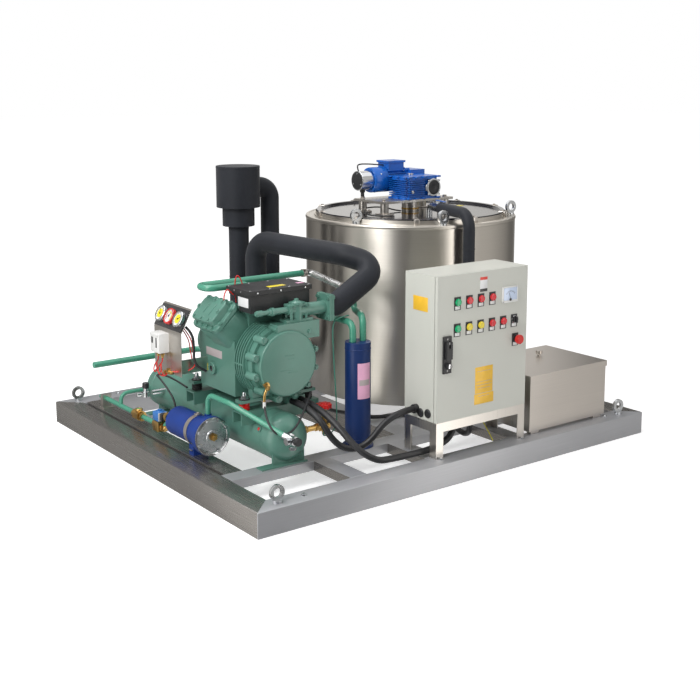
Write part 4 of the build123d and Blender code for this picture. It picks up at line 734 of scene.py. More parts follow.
# %% Brushed jacket
def upright_uv(piece, middle):
    """A UV map whose U runs up a round piece and whose V runs about it."""
    layer = piece.data.uv_layers.new(name="brush_way")
    for polygon in piece.data.polygons:
        start = None
        for loop_index in polygon.loop_indices:
            corner = piece.data.vertices[piece.data.loops[loop_index].vertex_index].co
            turned = atan2(corner.y - middle[1], corner.x - middle[0])
            if start is None:
                start = turned
            turned += 2 * pi * round((start - turned) / (2 * pi))
            layer.data[loop_index].uv = (corner.z, turned / (2 * pi))


def brushed_round(piece, middle, strength):
    """Give a piece's first material anisotropy along its own upright UV map."""
    upright_uv(piece, middle)
    tree = piece.data.materials[0].node_tree
    shader = tree.nodes["Principled BSDF"]
    shader.inputs["Anisotropic"].default_value = strength
    way = add_node(tree, "ShaderNodeTangent", direction_type="UV_MAP", uv_map="brush_way")
    join(way, "Tangent", shader, "Tangent")


print("upright UV map ready")

# %% [markdown]
# The jacket gets a steel of its own, a little rougher than the rest of the drum, because its sheet
# is ground and not polished. Nine tenths of full anisotropy gives bands as soft as those in the
# photograph.

# %% The jacket's own steel
drum_middle = (0.52, 0.153)
jacket_anisotropy = 0.9
softened["drum_jacket"].data.materials[0] = finish(
    "jacket_steel", (0.72, 0.68, 0.62), spread=0.04, gloss=(0.33, 0.38), stretch=around_z,
    cloud=0.8, bump=0.08, metallic=1.0, effect=grain_effect,
)
brushed_round(softened["drum_jacket"], drum_middle, jacket_anisotropy)
print("jacket brushed", jacket_anisotropy)

# %% [markdown]
# Pipes, wires and hoses are drawn as smooth curves. A line through many measured points looks like
# bent wire. A NURBS curve steered by a few control points bends evenly, as a real hose does, and
# its round section comes from the curve's own bevel.

# %% Routes
def from_corner(points):
    """Route points in millimetres from the skid's corner, as places in metres."""
    return [skid_corner + Vector(point) / 1000 for point in points]


def route_curve(name, points, radius):
    """A NURBS curve through a route's control points."""
    data = bpy.data.curves.new(name, "CURVE")
    data.dimensions = "3D"
    data.resolution_u = 12
    data.bevel_depth = radius
    data.bevel_resolution = 6
    data.use_fill_caps = True
    spline = data.splines.new("NURBS")
    spline.points.add(len(points) - 1)
    for control, point in zip(spline.points, points):
        control.co = (*point, 1.0)
    spline.order_u = 3
    spline.use_endpoint_u = True
    made = bpy.data.objects.new(name, data)
    scene.collection.objects.link(made)
    return made


print("route start", [round(v, 3) for v in from_corner([(0, 0, 0)])[0]])

# %% [markdown]
# A fitter measures from the skid's front left corner, in millimetres, while Blender works in metres
# from the middle. The sums could be done by hand for every part; these helpers turn the one into
# the other: a place, a matrix that stands a shape on a place, and the angles of places spaced
# evenly round a circle.

# %% Measure like a fitter
mm = 0.001
north = Vector((0, 1, 0))
south = Vector((0, -1, 0))
east = Vector((1, 0, 0))
west = Vector((-1, 0, 0))
upward = Vector((0, 0, 1))


def spot(x, y, z):
    """A place in metres from millimetres measured at the skid's front left corner."""
    return skid_corner + Vector((x, y, z)) * mm


def facing(place, axis):
    """A matrix that carries +Z onto an axis at a place."""
    return Matrix.Translation(place) @ Vector(axis).to_track_quat("Z", "Y").to_matrix().to_4x4()


def turns(count, first=0):
    """Angles of places spaced evenly round a circle."""
    return [radians(first + 360 * step / count) for step in range(count)]


print("skid's middle", [round(v, 3) for v in spot(1050, 900, 0)])

# %% [markdown]
# Washers, caps, rings, rims and nipples are turned parts. They could be stacked from cylinders. A
# profile spun once about its axis gives rounded shoulders for the same work. The profile is a list
# of pairs: the distance along the axis, and the radius there.

# %% Turned parts
def lathe(bm, place, axis, profile, segments=40):
    """Spin a profile of (distance, radius) pairs about an axis."""
    matrix = facing(place, axis)
    ring = [
        bm.verts.new(matrix @ Vector((radius * mm, 0, reach * mm))) for reach, radius in profile
    ]
    wire = [bm.edges.new(pair) for pair in zip(ring, ring[1:])]
    bmesh.ops.spin(
        bm, geom=ring + wire, cent=place, axis=Vector(axis).normalized(), angle=2 * pi,
        steps=segments, use_merge=True
    )


print("lathe ready, full turn", round(2 * pi, 4))

# %% [markdown]
# Feet, fins and cases are blocks, and nuts are many-sided bars. Both start from a stock shape, a
# cube or a cone with few sides, instead of corners typed in by hand. A block's edges are rounded,
# because a knife edge catches no light.

# %% Blocks and hexagons
def block(bm, middle, size, turn=None, edge=1.0):
    """A block with rounded edges about its middle."""
    scale = Matrix.Diagonal((*[side * mm for side in size], 1))
    matrix = Matrix.Translation(middle) @ (turn or Matrix.Identity(4)) @ scale
    made = bmesh.ops.create_cube(bm, size=1, matrix=matrix)
    if edge:
        edges = list(dict.fromkeys(line for vert in made["verts"] for line in vert.link_edges))
        bmesh.ops.bevel(
            bm, geom=edges, offset=edge * mm, affect="EDGES", segments=2, profile=0.5, material=-1,
        )


def prism(bm, place, axis, radius, height, sides=6, top=None):
    """A many-sided bar standing on a place."""
    matrix = facing(Vector(place) + Vector(axis).normalized() * height * mm / 2, axis)
    bmesh.ops.create_cone(
        bm, cap_ends=True, segments=sides, radius1=radius * mm, radius2=(top or radius) * mm,
        depth=height * mm, matrix=matrix
    )


print("block and prism ready")

# %% [markdown]
# A bolt's head is a hexagon with a small chamfer, on a washer. Its thread can't be seen, so it
# isn't cut. All its sizes follow from the head's radius, so one number makes the whole bolt.

# %% Bolts
washer_radius, washer_height = 1.3, 0.22
head_height, chamfer = 0.62, 0.1


def bolt(bm, place, axis, size, washer=True):
    """A hexagon head on its washer; the size is the head's radius."""
    start, way = Vector(place), Vector(axis).normalized()
    if washer:
        rim = size * washer_radius
        lathe(bm, start, axis, ((0, 0), (0, rim), (size * 0.2, rim), (size * 0.25, 0)), 20)
        start = start + way * size * washer_height * mm
    prism(bm, start, axis, size, size * head_height)
    crown = start + way * size * head_height * mm
    prism(bm, crown, axis, size * 0.92, size * chamfer, 6, size * 0.78)


print("bolt head", head_height, "of its radius high")

# %% [markdown]
# Each new piece is one mesh of many small parts that share a body and a finish. One object for each
# bolt would fill the list with names. This helper closes seams, turns the faces outwards, and gives
# the piece its finish and its body.

# %% Finish a new piece
def piece(name, bm, slot, material=None, body="machine", sharp=sharp_turn):
    """Finish a mesh as a named piece on a body."""
    bmesh.ops.remove_doubles(bm, verts=bm.verts, dist=0.000002)
    bmesh.ops.recalc_face_normals(bm, faces=bm.faces)
    shade(bm, sharp)
    made = settle(link_mesh(name, bm), body, slot, material or finishes[slot])
    print(name, len(made.data.polygons), "faces")
    return made


print("piece maker ready")

# %% [markdown]
# Thin pipes are bent metal and keep their shape. Cables are soft; here they are drawn the same way,
# as a smooth curve through given points.

# %% Wires and cables
def wire(name, points, radius, slot, material=None):
    """A thin fixed pipe along a smooth curve that millimetre points steer."""
    made = route_curve(name, from_corner(points), radius * mm)
    made.data.bevel_resolution = 3
    print(name, "through", len(points), "points")
    return settle(made, "machine", slot, finishes[material or slot])


def cable(name, points, radius, material="black_plastic"):
    """A short cable along a smooth curve that millimetre points steer."""
    made = wire(name, points, radius, "black_plastic", material)
    return made


print("wire and cable makers ready")

# %% [markdown]
# Plates and stickers are bare here, with no writing. They could be painted on by a mask in the
# material. A thin plate of its own, laid flat where its two directions say, keeps the crisp edge
# and the small shadow of a real sticker. Printed film is slightly glossy and faintly creased.

# %% Plates and stickers
film = 0.6


def label(name, middle, across, upwards, size, colour, body="machine"):
    """A thin bare plate or sticker, laid flat where its two directions say."""
    across, upwards = Vector(across).normalized(), Vector(upwards).normalized()
    turn = Matrix((across, upwards, across.cross(upwards))).transposed().to_4x4()
    bm = bmesh.new()
    block(bm, middle, (*size, film), turn, film / 4)
    return piece(name, bm, "white_plastic", stickers[colour], body)


def sticker_finish(name, colour):
    """A printed film: even colour, slightly glossy, with faint creases."""
    return finish(name, colour, spread=0.05, gloss=(0.28, 0.42), cloud=30, bump=0.12, coat=0.2)


stickers = {
    "yellow": sticker_finish("yellow_film", (0.85, 0.50, 0.035)),
    "bright_yellow": sticker_finish("bright_yellow_film", (0.88, 0.70, 0.02)),
    "white": sticker_finish("white_film", (0.80, 0.80, 0.80)),
    "red": sticker_finish("red_film", (0.72, 0.05, 0.03)),
    "black": sticker_finish("black_film", (0.03, 0.03, 0.03)),
    "pink": sticker_finish("pink_film", (0.80, 0.42, 0.60)),
    "plate": sticker_finish("plate_film", (0.46, 0.40, 0.40)),
}
print("stickers", len(stickers))

# %% [markdown]
# The compressor's castings are held together by rows of bolts. Round the motor's end cover they
# stand 30 degrees apart, and at the left cast bosses run back from them. Each could be copied by
# hand; stepping round the circle puts each where the flange has it. The places behind the terminal
# box are left out.

# %% End cover bolts
axis_x, axis_z = 427, 495
cover_circle = 148
boss_profile = ((0, 0), (0, 17), (58, 16.5), (62, 15), (62, 0))
bolts = bmesh.new()
for step, angle in enumerate(turns(12, 15)):
    place_x, place_z = axis_x + cover_circle * cos(angle), axis_z + cover_circle * sin(angle)
    if step not in (1, 2, 3):
        bolt(bolts, spot(place_x, 446, place_z), south, 8.5, False)
    if step in (4, 5, 6, 7, 8):
        lathe(bolts, spot(place_x, 506, place_z), south, boss_profile, 32)
for boss_x in (432, 536):
    bolt(bolts, spot(boss_x, 442, 612), south, 9.5, False)
print("end cover circle", cover_circle, "mm")

# %% [markdown]
# The two cylinder heads sit square to their banks, at 45 degrees to the left and right, and each
# has twelve bolts round its edge. They could be placed upright and turned. It is simpler to name
# the bank's own two directions, outwards and across, and to measure along those.

# %% Cylinder head bolts
diagonal = cos(pi / 4)
head_seat = 262
head_places = [(y, c) for y in (-62, -21, 21, 62) for c in (-66, 66)]
head_places += [(y, c) for y in (-91, 91) for c in (-34, 34)]
for side in (-1, 1):
    out = Vector((side * diagonal, 0, diagonal))
    cross = Vector((diagonal, 0, -side * diagonal))
    base = spot(axis_x, 700, axis_z) + out * head_seat * mm
    for along, sideways in head_places:
        bolt(bolts, base + Vector((0, along * mm, 0)) + cross * sideways * mm, out, 8.0)
piece("compressor_bolts", bolts, "green_paint")

# %% [markdown]
# The end cover has rows of raised casting marks, and each head's crown has a few ribs and round
# pads with a bolt on top. They could be a bump in the paint. Real relief of a millimetre catches
# light along its edges, so low blocks are set into the casting. They carry no lettering.

# %% Casting marks
marks = bmesh.new()
crown_height = 295
pad_places = [(y, c) for y in (-56, 0, 56) for c in (-48, 48)] + [(y, 0) for y in (-74, 74)]
for mark_x, mark_z, length in ((430, 530, 44), (436, 516, 30), (418, 470, 62), (448, 458, 50)):
    block(marks, spot(mark_x, 430, mark_z), (length, 1.4, 3), None, 0.5)
for side in (-1, 1):
    out = Vector((side * diagonal, 0, diagonal))
    turn = Matrix.Rotation(side * pi / 4, 4, "Y")
    crown = spot(axis_x, 700, axis_z) + out * crown_height * mm
    cross = Vector((diagonal, 0, -side * diagonal))
    for along, sideways in pad_places:
        foot = crown - out * 5 * mm + Vector((0, along * mm, 0)) + cross * sideways * mm
        lathe(marks, foot, out, ((0, 0), (0, 13), (6, 12), (7, 10), (7, 0)), 24)
        bolt(marks, foot + out * 7 * mm, out, 7.5, False)
    block(marks, crown + Vector((0, 0.018, 0)), (46, 9, 5), turn, 1.5)
    block(marks, crown - Vector((0, 0.030, 0)), (60, 7, 4), turn, 1.5)
piece("casting_marks", marks, "green_paint")

# %% [markdown]
# Cooling fins stand on the motor's barrel, between the crankcase and the end cover. They run over
# the free side only, and one level web crosses them. They could be turned as whole rings, but the
# far side is plain. So each fin is an upright strip spun part of the way about the motor's axis.

# %% Cooling fins
fins = bmesh.new()
fin_from, fin_to = radians(112), radians(240)
fin_ring, fin_half_height, fin_half_width = 155, 9, 2.6
outward = Vector((cos(fin_from), 0, sin(fin_from)))
fin_sides = (outward * fin_half_height * mm, north * fin_half_width * mm, outward.cross(north))
for fin_y in (517.5, 533.5, 549.5, 565.5, 581.5):
    strip_frame = Matrix(fin_sides).transposed().to_4x4()
    strip_frame.translation = spot(axis_x, fin_y, axis_z) + outward * fin_ring * mm
    start = bmesh.ops.create_grid(
        fins, x_segments=1, y_segments=1, size=1, matrix=strip_frame
    )["verts"]
    strip = start + list(dict.fromkeys(edge for vert in start for edge in vert.link_edges))
    strip += start[0].link_faces[:]
    bmesh.ops.spin(
        fins, geom=strip, cent=spot(axis_x, 0, axis_z), axis=south, angle=fin_to - fin_from,
        steps=48, use_merge=False
    )
bmesh.ops.recalc_face_normals(fins, faces=fins.faces)
block(fins, spot(axis_x - 156, 549.5, axis_z), (15, 70, 7), None, 1)
piece("cooling_fins", fins, "green_paint")

# %% [markdown]
# The oil sight glass on the crankcase is a bolted ring round a window. Clear glass would need
# something behind it; the oil behind this one is dark, so a slightly domed black disc looks the
# same. Ring and window are turned parts.

# %% Compressor sight glass
glass_ring = bmesh.new()
lathe(glass_ring, spot(271, 771, 432), west, ((0, 27), (5, 27), (7, 25), (7, 13), (4, 12), (2, 12)))
for angle in turns(6, 20):
    bolt(glass_ring, spot(264, 771 + 20 * cos(angle), 432 + 20 * sin(angle)), west, 3.2, False)
piece("sight_glass_ring", glass_ring, "green_paint")
glass_window = bmesh.new()
lathe(glass_window, spot(266, 771, 432), west, ((0, 12.5), (1.5, 12), (3, 8), (3.5, 0)))
piece("sight_glass_window", glass_window, "black_gloss")

# %% [markdown]
# The compressor stands on four rubber buffers with ribs, and a zinc stud with washer and nut stands
# on each. The front left buffer is a red one. Four buffers could be one part and three copies; here
# one loop over the four places turns each in its own mesh, because their finishes differ.

# %% Buffers and studs
studs = bmesh.new()
buffers = bmesh.new()
red_buffer = bmesh.new()
rib_profile = (
    (0, 0), (0, 19), (3, 22), (6, 22), (8, 19), (11, 22), (14, 22), (16, 19), (19, 22), (22, 22),
    (24, 19), (27, 22), (30, 21), (32, 0),
)
stud_profile = (
    (0, 0), (0, 8), (13, 8), (13, 21), (16, 21), (18, 14), (18, 8), (41, 8), (43, 6), (43, 0),
)
for mount_x in (274.5, 579.5):
    for mount_y in (528, 912):
        target = red_buffer if (mount_x, mount_y) == (274.5, 528) else buffers
        lathe(target, spot(mount_x, mount_y, 308), upward, rib_profile, 32)
        lathe(studs, spot(mount_x, mount_y, 339), upward, stud_profile)
        prism(studs, spot(mount_x, mount_y, 357), upward, 13, 11)
        lathe(buffers, spot(mount_x, mount_y, 352), upward, ((0, 9), (0, 23), (3, 23), (5, 18)), 32)
mount_buffers = piece("mount_buffers", buffers, "buffer_rubber")
piece("red_mount_buffer", red_buffer, "red_plastic")
piece("mount_studs", studs, "bright_zinc")
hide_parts("compressor_mounts")

# %% [markdown]
# The terminal box's lid and side plates are held by domed screws. Screws this small could be dots
# of colour, but each throws a small highlight, so each is turned from one profile.

# %% Terminal box screws
screws = bmesh.new()
lid_screw = ((0, 0), (0, 5), (2, 4.4), (2.6, 0))
side_screw = ((0, 0), (0, 4), (1.5, 3.6), (2.2, 0))
for screw_x in (302, 396, 490, 584):
    for screw_y in (515, 675):
        lathe(screws, spot(screw_x, screw_y, 791.5), upward, lid_screw, 16)
for screw_y in (570, 620):
    lathe(screws, spot(292.5, screw_y, 782), west, side_screw, 16)
for screw_x in (330, 440, 560):
    lathe(screws, spot(screw_x, 505.5, 782), south, side_screw, 16)
piece("terminal_box_screws", screws, "bright_zinc")

# %% [markdown]
# The box and the crankcase carry bare fields where the real ones have plates: a yellow and a pink
# bar on the lid, a white one at the side, and two on the crankcase. They lie a fraction of a
# millimetre proud of the paint, so that the two surfaces don't flicker through each other.

# %% Compressor stickers
label("terminal_bar", spot(452, 558, 792.2), (1, 0.06, 0), north, (84, 30), "bright_yellow")
label("terminal_red_bar", spot(570, 560, 792.2), east, north, (32, 22), "pink")
label("terminal_side_plate", spot(299.8, 566, 740), south, upward, (78, 38), "white")
label("crankcase_plate", spot(276.7, 765, 499), south, upward, (128, 33), "plate")
label("oil_mark", spot(276.7, 838, 428), south, upward, (40, 32), "bright_yellow")

# %% [markdown]
# Two red leads loop from the sensors on the cylinder head into the terminal box. They could be bent
# wire with straight runs, but thin leads never lie straight. Five control points each give one loose
# loop.

# %% Sensor leads
cable(
    "sensor_lead_left",
    [(262, 640, 700), (250, 640, 745), (268, 640, 790), (288, 640, 772), (300, 640, 760)], 2.6,
    "red_plastic",
)
cable(
    "sensor_lead_right",
    [(342, 690, 716), (335, 690, 790), (345, 688, 832), (362, 684, 815), (368, 682, 792)], 2.6,
    "red_plastic",
)

# %% [markdown]
# A brass fitting on the end cover carries a bent tube and a white sleeve, and a black cable hangs
# from it in a wide loop to the receiver's side. The tube is bent metal and stays as it is. The cable
# is soft, and its loop sags under its own weight.

# %% Heater fitting and cable
heater_fitting = bmesh.new()
lathe(
    heater_fitting, spot(318, 442, 425), south,
    ((0, 0), (0, 9), (8, 9), (9, 12), (16, 12), (17, 8), (26, 8), (27, 0)), 24,
)
prism(heater_fitting, spot(318, 432, 425), south, 12.5, 8)
prism(heater_fitting, spot(316, 414, 424), Vector((-0.5, -0.2, -1)), 9, 16)
piece("heater_fitting", heater_fitting, "brass_metal")
wire(
    "heater_tube", [(314, 414, 420), (302, 412, 404), (296, 412, 384), (296, 412, 362)], 5.4,
    "brass_metal",
)
wire("heater_sleeve", [(296, 412, 364), (296, 412, 340)], 6.6, "white_plastic")
heater_route = [
    (314, 414, 420), (302, 412, 404), (296, 412, 384), (296, 412, 342), (288, 384, 304),
    (286, 348, 270), (302, 328, 250), (342, 325, 242), (390, 335, 256), (438, 356, 296),
    (491, 395, 338), (538, 438, 358),
]
cable("heater_cable", heater_route, 4.4)

# %% [markdown]
# The suction valve is a casting: a round tower with four long studs and a capped service stub. The
# solids give its main body, and could be enough. The studs, the yoke across them and the cap are
# what a fitter would know it by, so they are turned and set on it.

# %% Suction valve tower
valve_parts = bmesh.new()
post_profile = ((0, 0), (0, 9), (12, 9), (12, 6), (62, 6), (62, 0))
for post_x in (-1, 1):
    for post_y in (-1, 1):
        post = spot(495 + post_x * 36, 475 + post_y * 17, 655)
        lathe(valve_parts, post, upward, post_profile, 20)
        bolt(valve_parts, post + Vector((0, 0, 0.062)), upward, 8.5)
block(valve_parts, spot(495, 475, 723), (96, 46, 10), None, 3)
lathe(
    valve_parts, spot(495, 475, 728), upward,
    ((0, 24), (5, 24), (8, 20), (12, 10), (18, 9), (18, 0)), 32,
)
bolt(valve_parts, spot(495, 475, 742), upward, 8, False)
print("suction valve tower", len(valve_parts.faces), "faces")

# %% [markdown]
# A square pair of flanges joins the valve to the suction pipe, pulled together by four bolts, and
# the left stub ends in a cap. The bolts' nuts stand on both sides of the flange, as they do on the
# real one.

# %% Suction flange
for flange_y in (-34, 34):
    for flange_z in (-41, 41):
        place = spot(622, 475 + flange_y, 698 + flange_z)
        prism(valve_parts, place, east, 10, 7)
        lathe(valve_parts, place, east, ((0, 0), (-5, 5), (-5, 0)), 14)
        prism(valve_parts, spot(650, 475 + flange_y, 698 + flange_z), east, 10, 8)
lathe(valve_parts, spot(372, 475, 706), east, ((0, 13), (0, 17), (12, 17), (12, 13)), 28)
lathe(valve_parts, spot(304, 475, 706), east, ((0, 7), (2, 12), (26, 12), (28, 9)), 28)
piece("suction_valve_fittings", valve_parts, "green_paint")

# %% [markdown]
# The flexible discharge hose is a stainless braid. Woven wire could be modelled strand by strand,
# at a great cost for so small a part. Two crossing sets of fine bands, multiplied into one bump,
# look the same from here.

# %% Wire braid
braid_turn, braid_bands = 0.6, 62.0


def braid_finish():
    """Two crossing sets of fine bands, as woven wire shows."""
    material = finish(
        "wire_braid", (0.62, 0.62, 0.62), spread=0.2, gloss=(0.22, 0.36), cloud=14, bump=0.1,
        metallic=1.0,
    )
    tree = material.node_tree
    shader = tree.nodes["Principled BSDF"]
    place = add_node(tree, "ShaderNodeTexCoord")
    weave = []
    for turn in (braid_turn, -braid_turn):
        mapping = add_node(tree, "ShaderNodeMapping")
        mapping.inputs["Rotation"].default_value = (turn, 0.4 * turn, turn)
        bands = add_node(tree, "ShaderNodeTexWave", Scale=braid_bands, bands_direction="DIAGONAL")
        join(place, "Object", mapping, "Vector")
        join(mapping, 0, bands, "Vector")
        weave.append(bands.outputs["Fac"])
    both = add_node(tree, "ShaderNodeMath", operation="MULTIPLY")
    tree.links.new(weave[0], both.inputs[0])
    tree.links.new(weave[1], both.inputs[1])
    relief = add_node(tree, "ShaderNodeBump", Strength=0.9, Distance=0.0012)
    join(both, 0, relief, "Height")
    join(relief, "Normal", shader, "Normal")
    return material


softened["discharge_flex"].data.materials[0] = braid_finish()
print("braid bands", braid_bands)

# %% [markdown]
# The hose's ends are crimped into smooth ferrules. They hide the place where the braid would fray,
# so they stand a little proud of it. The lower one leans along the hose's own direction.

# %% Ferrules
ferrules = bmesh.new()
lathe(
    ferrules, spot(756, 815, 778), east, ((0, 14), (0, 18), (14, 18), (16, 17), (22, 17), (22, 15)),
    32,
)
flex_way = Vector((30, -215, -43)).normalized()
lower_ferrule = ((0, 15), (0, 17), (6, 17), (8, 18), (24, 18), (24, 14))
lathe(ferrules, spot(830, 600, 735) - flex_way * 20 * mm, flex_way, lower_ferrule, 32)
piece("hose_ferrules", ferrules, "sheet_steel")

# %% [markdown]
# The filter drier is a painted shell with a bolted end plate, a brass cap and a steel strap. Its
# shell is a solid already. The plate is turned in one profile with its rim and its dished middle,
# and eight bolts stand on the rim.

# %% Filter drier
drier_bolts = bmesh.new()
plate_profile = (
    (0, 0), (0, 79), (5, 79), (7, 76), (7, 66), (5, 64), (5, 30), (9, 28), (9, 0),
)
lathe(drier_bolts, spot(165, 600, 200), south, plate_profile, 48)
for angle in turns(8, 22.5):
    bolt(drier_bolts, spot(165 + 68 * cos(angle), 593, 200 + 68 * sin(angle)), south, 8, False)
piece("drier_end_plate", drier_bolts, "bright_zinc")
drier_cap = bmesh.new()
lathe(
    drier_cap, spot(165, 592, 200), south, ((0, 0), (0, 12), (10, 12), (12, 9), (18, 9), (18, 0)),
    24,
)
prism(drier_cap, spot(165, 590, 200), south, 17, 7)
lathe(
    drier_cap, spot(150, 934, 200), north,
    ((0, 12), (0, 20), (16, 20), (18, 14), (30, 14), (30, 12)), 28,
)
piece("drier_cap", drier_cap, "brass_metal")
strap = bmesh.new()
lathe(strap, spot(165, 699, 200), north, ((0, 62), (0, 64.5), (24, 64.5), (24, 62)), 56)
block(strap, spot(165, 711, 267), (26, 24, 6), None, 1)
bolt(strap, spot(165, 711, 269), upward, 7)
block(strap, spot(165, 711, 122), (84, 24, 4), None, 1)
piece("drier_strap", strap, "sheet_steel")

# %% [markdown]
# The solenoid valve's coil is a blue moulded case with a pale side and a black plug. One block
# could stand for all of it. Three rounded blocks in three finishes show what it is made of, and the
# coil's case takes the place of its plain solid.

# %% Solenoid coil and plug
coil_finish = finish(
    "coil_blue", (0.03, 0.17, 0.50), spread=0.08, gloss=(0.30, 0.42), cloud=16, bump=0.2, coat=0.2,
)
coil = bmesh.new()
coil_top = ((0, 0), (0, 20), (3, 18), (3, 9), (8, 9), (9, 0))
block(coil, spot(150, 1020, 190), (46, 52, 40), None, 5)
lathe(coil, spot(150, 1020, 210), upward, coil_top, 28)
coil_piece = piece("solenoid_coil_case", coil, "blue_paint", coil_finish)
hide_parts("solenoid_coil")
plug = bmesh.new()
block(plug, spot(150, 986, 192), (30, 22, 32), None, 4)
block(plug, spot(160, 978, 190), (26, 14, 20), None, 3)
lathe(plug, spot(172, 978, 190), east, ((0, 9), (10, 9), (10, 6), (18, 6), (18, 0)), 20)
coil_side = bmesh.new()
block(coil_side, spot(150, 995, 190), (42, 6, 36), None, 2)
piece("solenoid_side", coil_side, "pale_plastic")
piece("solenoid_plug", plug, "black_plastic")

# %% [markdown]
# Below the coil, the valve's body, its unions and the line's sight glass are brass. They could be
# turned as one long part, but unions are hexagons, for a spanner. So prisms and turned necks
# alternate along the line.

# %% Brass valve body
brass_body = bmesh.new()
block(brass_body, spot(150, 1020, 146), (48, 54, 46), None, 4)
for end_y, way in ((992, south), (1048, north)):
    prism(brass_body, spot(150, end_y, 145), way, 19, 14)
    neck = spot(150, end_y, 145) + way * 14 * mm
    lathe(brass_body, neck, way, ((0, 0), (0, 13), (12, 13), (14, 11), (14, 0)), 24)
prism(brass_body, spot(150, 1195, 145), north, 25, 52, 6)
for neck_y in (1176, 1247):
    lathe(brass_body, spot(150, neck_y, 145), north, ((0, 11), (0, 17), (19, 17), (19, 11)), 24)
glass_rim = ((0, 0), (0, 17), (7, 17), (9, 14), (9, 12), (6, 11), (6, 0))
lathe(brass_body, spot(150, 1221, 166), upward, glass_rim, 28)
piece("solenoid_body", brass_body, "brass_metal")
window = bmesh.new()
lathe(window, spot(150, 1221, 172), upward, ((0, 11), (1.5, 10.5), (2.5, 6), (3, 0)), 28)
sight_green = sticker_finish("sight_green", (0.10, 0.32, 0.12))
piece("line_sight_glass", window, "lamp_plastic", sight_green)

# %% [markdown]
# The receiver's domed ends are welded on, with a low bead at each seam, and a red plug closes a
# spare port on its side. A bead could be a line in the paint. It is turned as a flat ridge instead,
# because its shadow is what shows where the dome begins.

# %% Receiver seams and plug
receiver_way = Vector((-89, 0, 39)).normalized()
plug_seat = spot(388, 453, 203) + receiver_way * 96 * mm
plug_profile = ((0, 0), (0, 6.5), (2.5, 6.5), (3.5, 5), (3.5, 0))
bead_profile = ((-4, 96.5), (-2, 98.2), (2, 98.2), (4, 96.5))
receiver_trim, red_plug = bmesh.new(), bmesh.new()
lathe(receiver_trim, plug_seat, receiver_way, ((0, 0), (0, 12), (5, 12), (6, 11), (6, 0)), 28)
lathe(red_plug, plug_seat + receiver_way * 6 * mm, receiver_way, plug_profile, 24)
for seam_y in (436, 1376):
    lathe(receiver_trim, spot(388, seam_y, 203), south, bead_profile, 64)
piece("receiver_trim", receiver_trim, "green_paint")
piece("receiver_plug", red_plug, "red_plastic")

# %% [markdown]
# The service valves are silver bodies with a black cap on the spindle, and hexagon nuts where
# the pipes screw in. A valve could be cast as one rounded lump. Its parts differ in finish, so
# the bodies of both valves share one mesh and their caps another.

# %% Service valves
valve_steel, valve_caps = bmesh.new(), bmesh.new()
downward = Vector((0, 0, -1))
neck_profile = ((0, 14), (0, 24), (8, 24), (10, 20), (16, 20), (16, 14))
lathe(valve_steel, spot(338, 300, 233), south, neck_profile, 28)
lathe(valve_caps, spot(332, 240, 238), south, ((0, 0), (0, 17), (14, 16.5), (17, 14), (17, 0)), 28)
prism(valve_steel, spot(338, 277, 205), downward, 15, 10)
prism(valve_steel, spot(318, 277, 233), west, 16, 12)
spindle_profile = ((0, 0), (0, 15), (24, 15), (26, 11), (40, 11), (40, 0))
lathe(valve_steel, spot(200, 1248, 214), upward, spindle_profile, 28)
lathe(valve_caps, spot(200, 1248, 254), upward, ((0, 0), (0, 15), (22, 15), (25, 11), (25, 0)), 28)
prism(valve_steel, spot(200, 1248, 228), west, 12, 26)
lathe(valve_steel, spot(174, 1248, 228), west, ((0, 0), (0, 9), (18, 9), (20, 6), (20, 0)), 20)
lathe(valve_steel, spot(230, 1248, 228), east, ((0, 0), (0, 11), (70, 11)), 20)
piece("valve_steelwork", valve_steel, "bright_zinc")
piece("valve_caps", valve_caps, "black_plastic")

# %% [markdown]
# The regulating valve is brass: a turned spindle housing with hexagons for the spanner, and
# unions to both pipes. Its solid gives the housing; the hexagons are what makes it a fitting
# and not a plain rod.

# %% Regulating valve
regulator = bmesh.new()
housing_profile = ((0, 0), (0, 16), (34, 16), (36, 11), (84, 11), (86, 9), (86, 0))
lathe(regulator, spot(605, 440, 184), upward, housing_profile, 28)
prism(regulator, spot(605, 440, 216), upward, 20, 14)
prism(regulator, spot(605, 440, 196), west, 14, 24)
prism(regulator, spot(500, 440, 203), east, 17, 16)
prism(regulator, spot(560, 440, 203), east, 17, 14)
prism(regulator, spot(605, 440, 182), Vector((0, -0.2, -1)), 10, 16)
piece("regulator_brass", regulator, "brass_metal")

# %% [markdown]
# A thin green capillary runs from the separator down to the regulating valve, and its end makes a
# small loop, as fitters leave one to take up vibration. A turned part can't loop, so it is a wire
# through ten control points.

# %% Green capillary
finishes["capillary_green"] = finish(
    "capillary_green", (0.05, 0.24, 0.17), spread=0.1, gloss=(0.30, 0.42), cloud=12, bump=0.1,
    coat=0.2,
)
wire(
    "green_capillary",
    [
        (733, 440, 654), (690, 440, 652), (652, 440, 640), (650, 440, 560), (668, 440, 300),
        (672, 440, 200), (650, 440, 168), (605, 436, 158), (590, 430, 172), (603, 436, 182),
    ],
    2.6, "green_paint", "capillary_green",
)

# %% [markdown]
# The regulating valve's handwheel is a red moulded knob with eight lobes to grip. The lobes could
# be cut into a disc. Eight small round bars let into its rim give the same outline. The knob turns,
# so it rides on the handwheel's body.

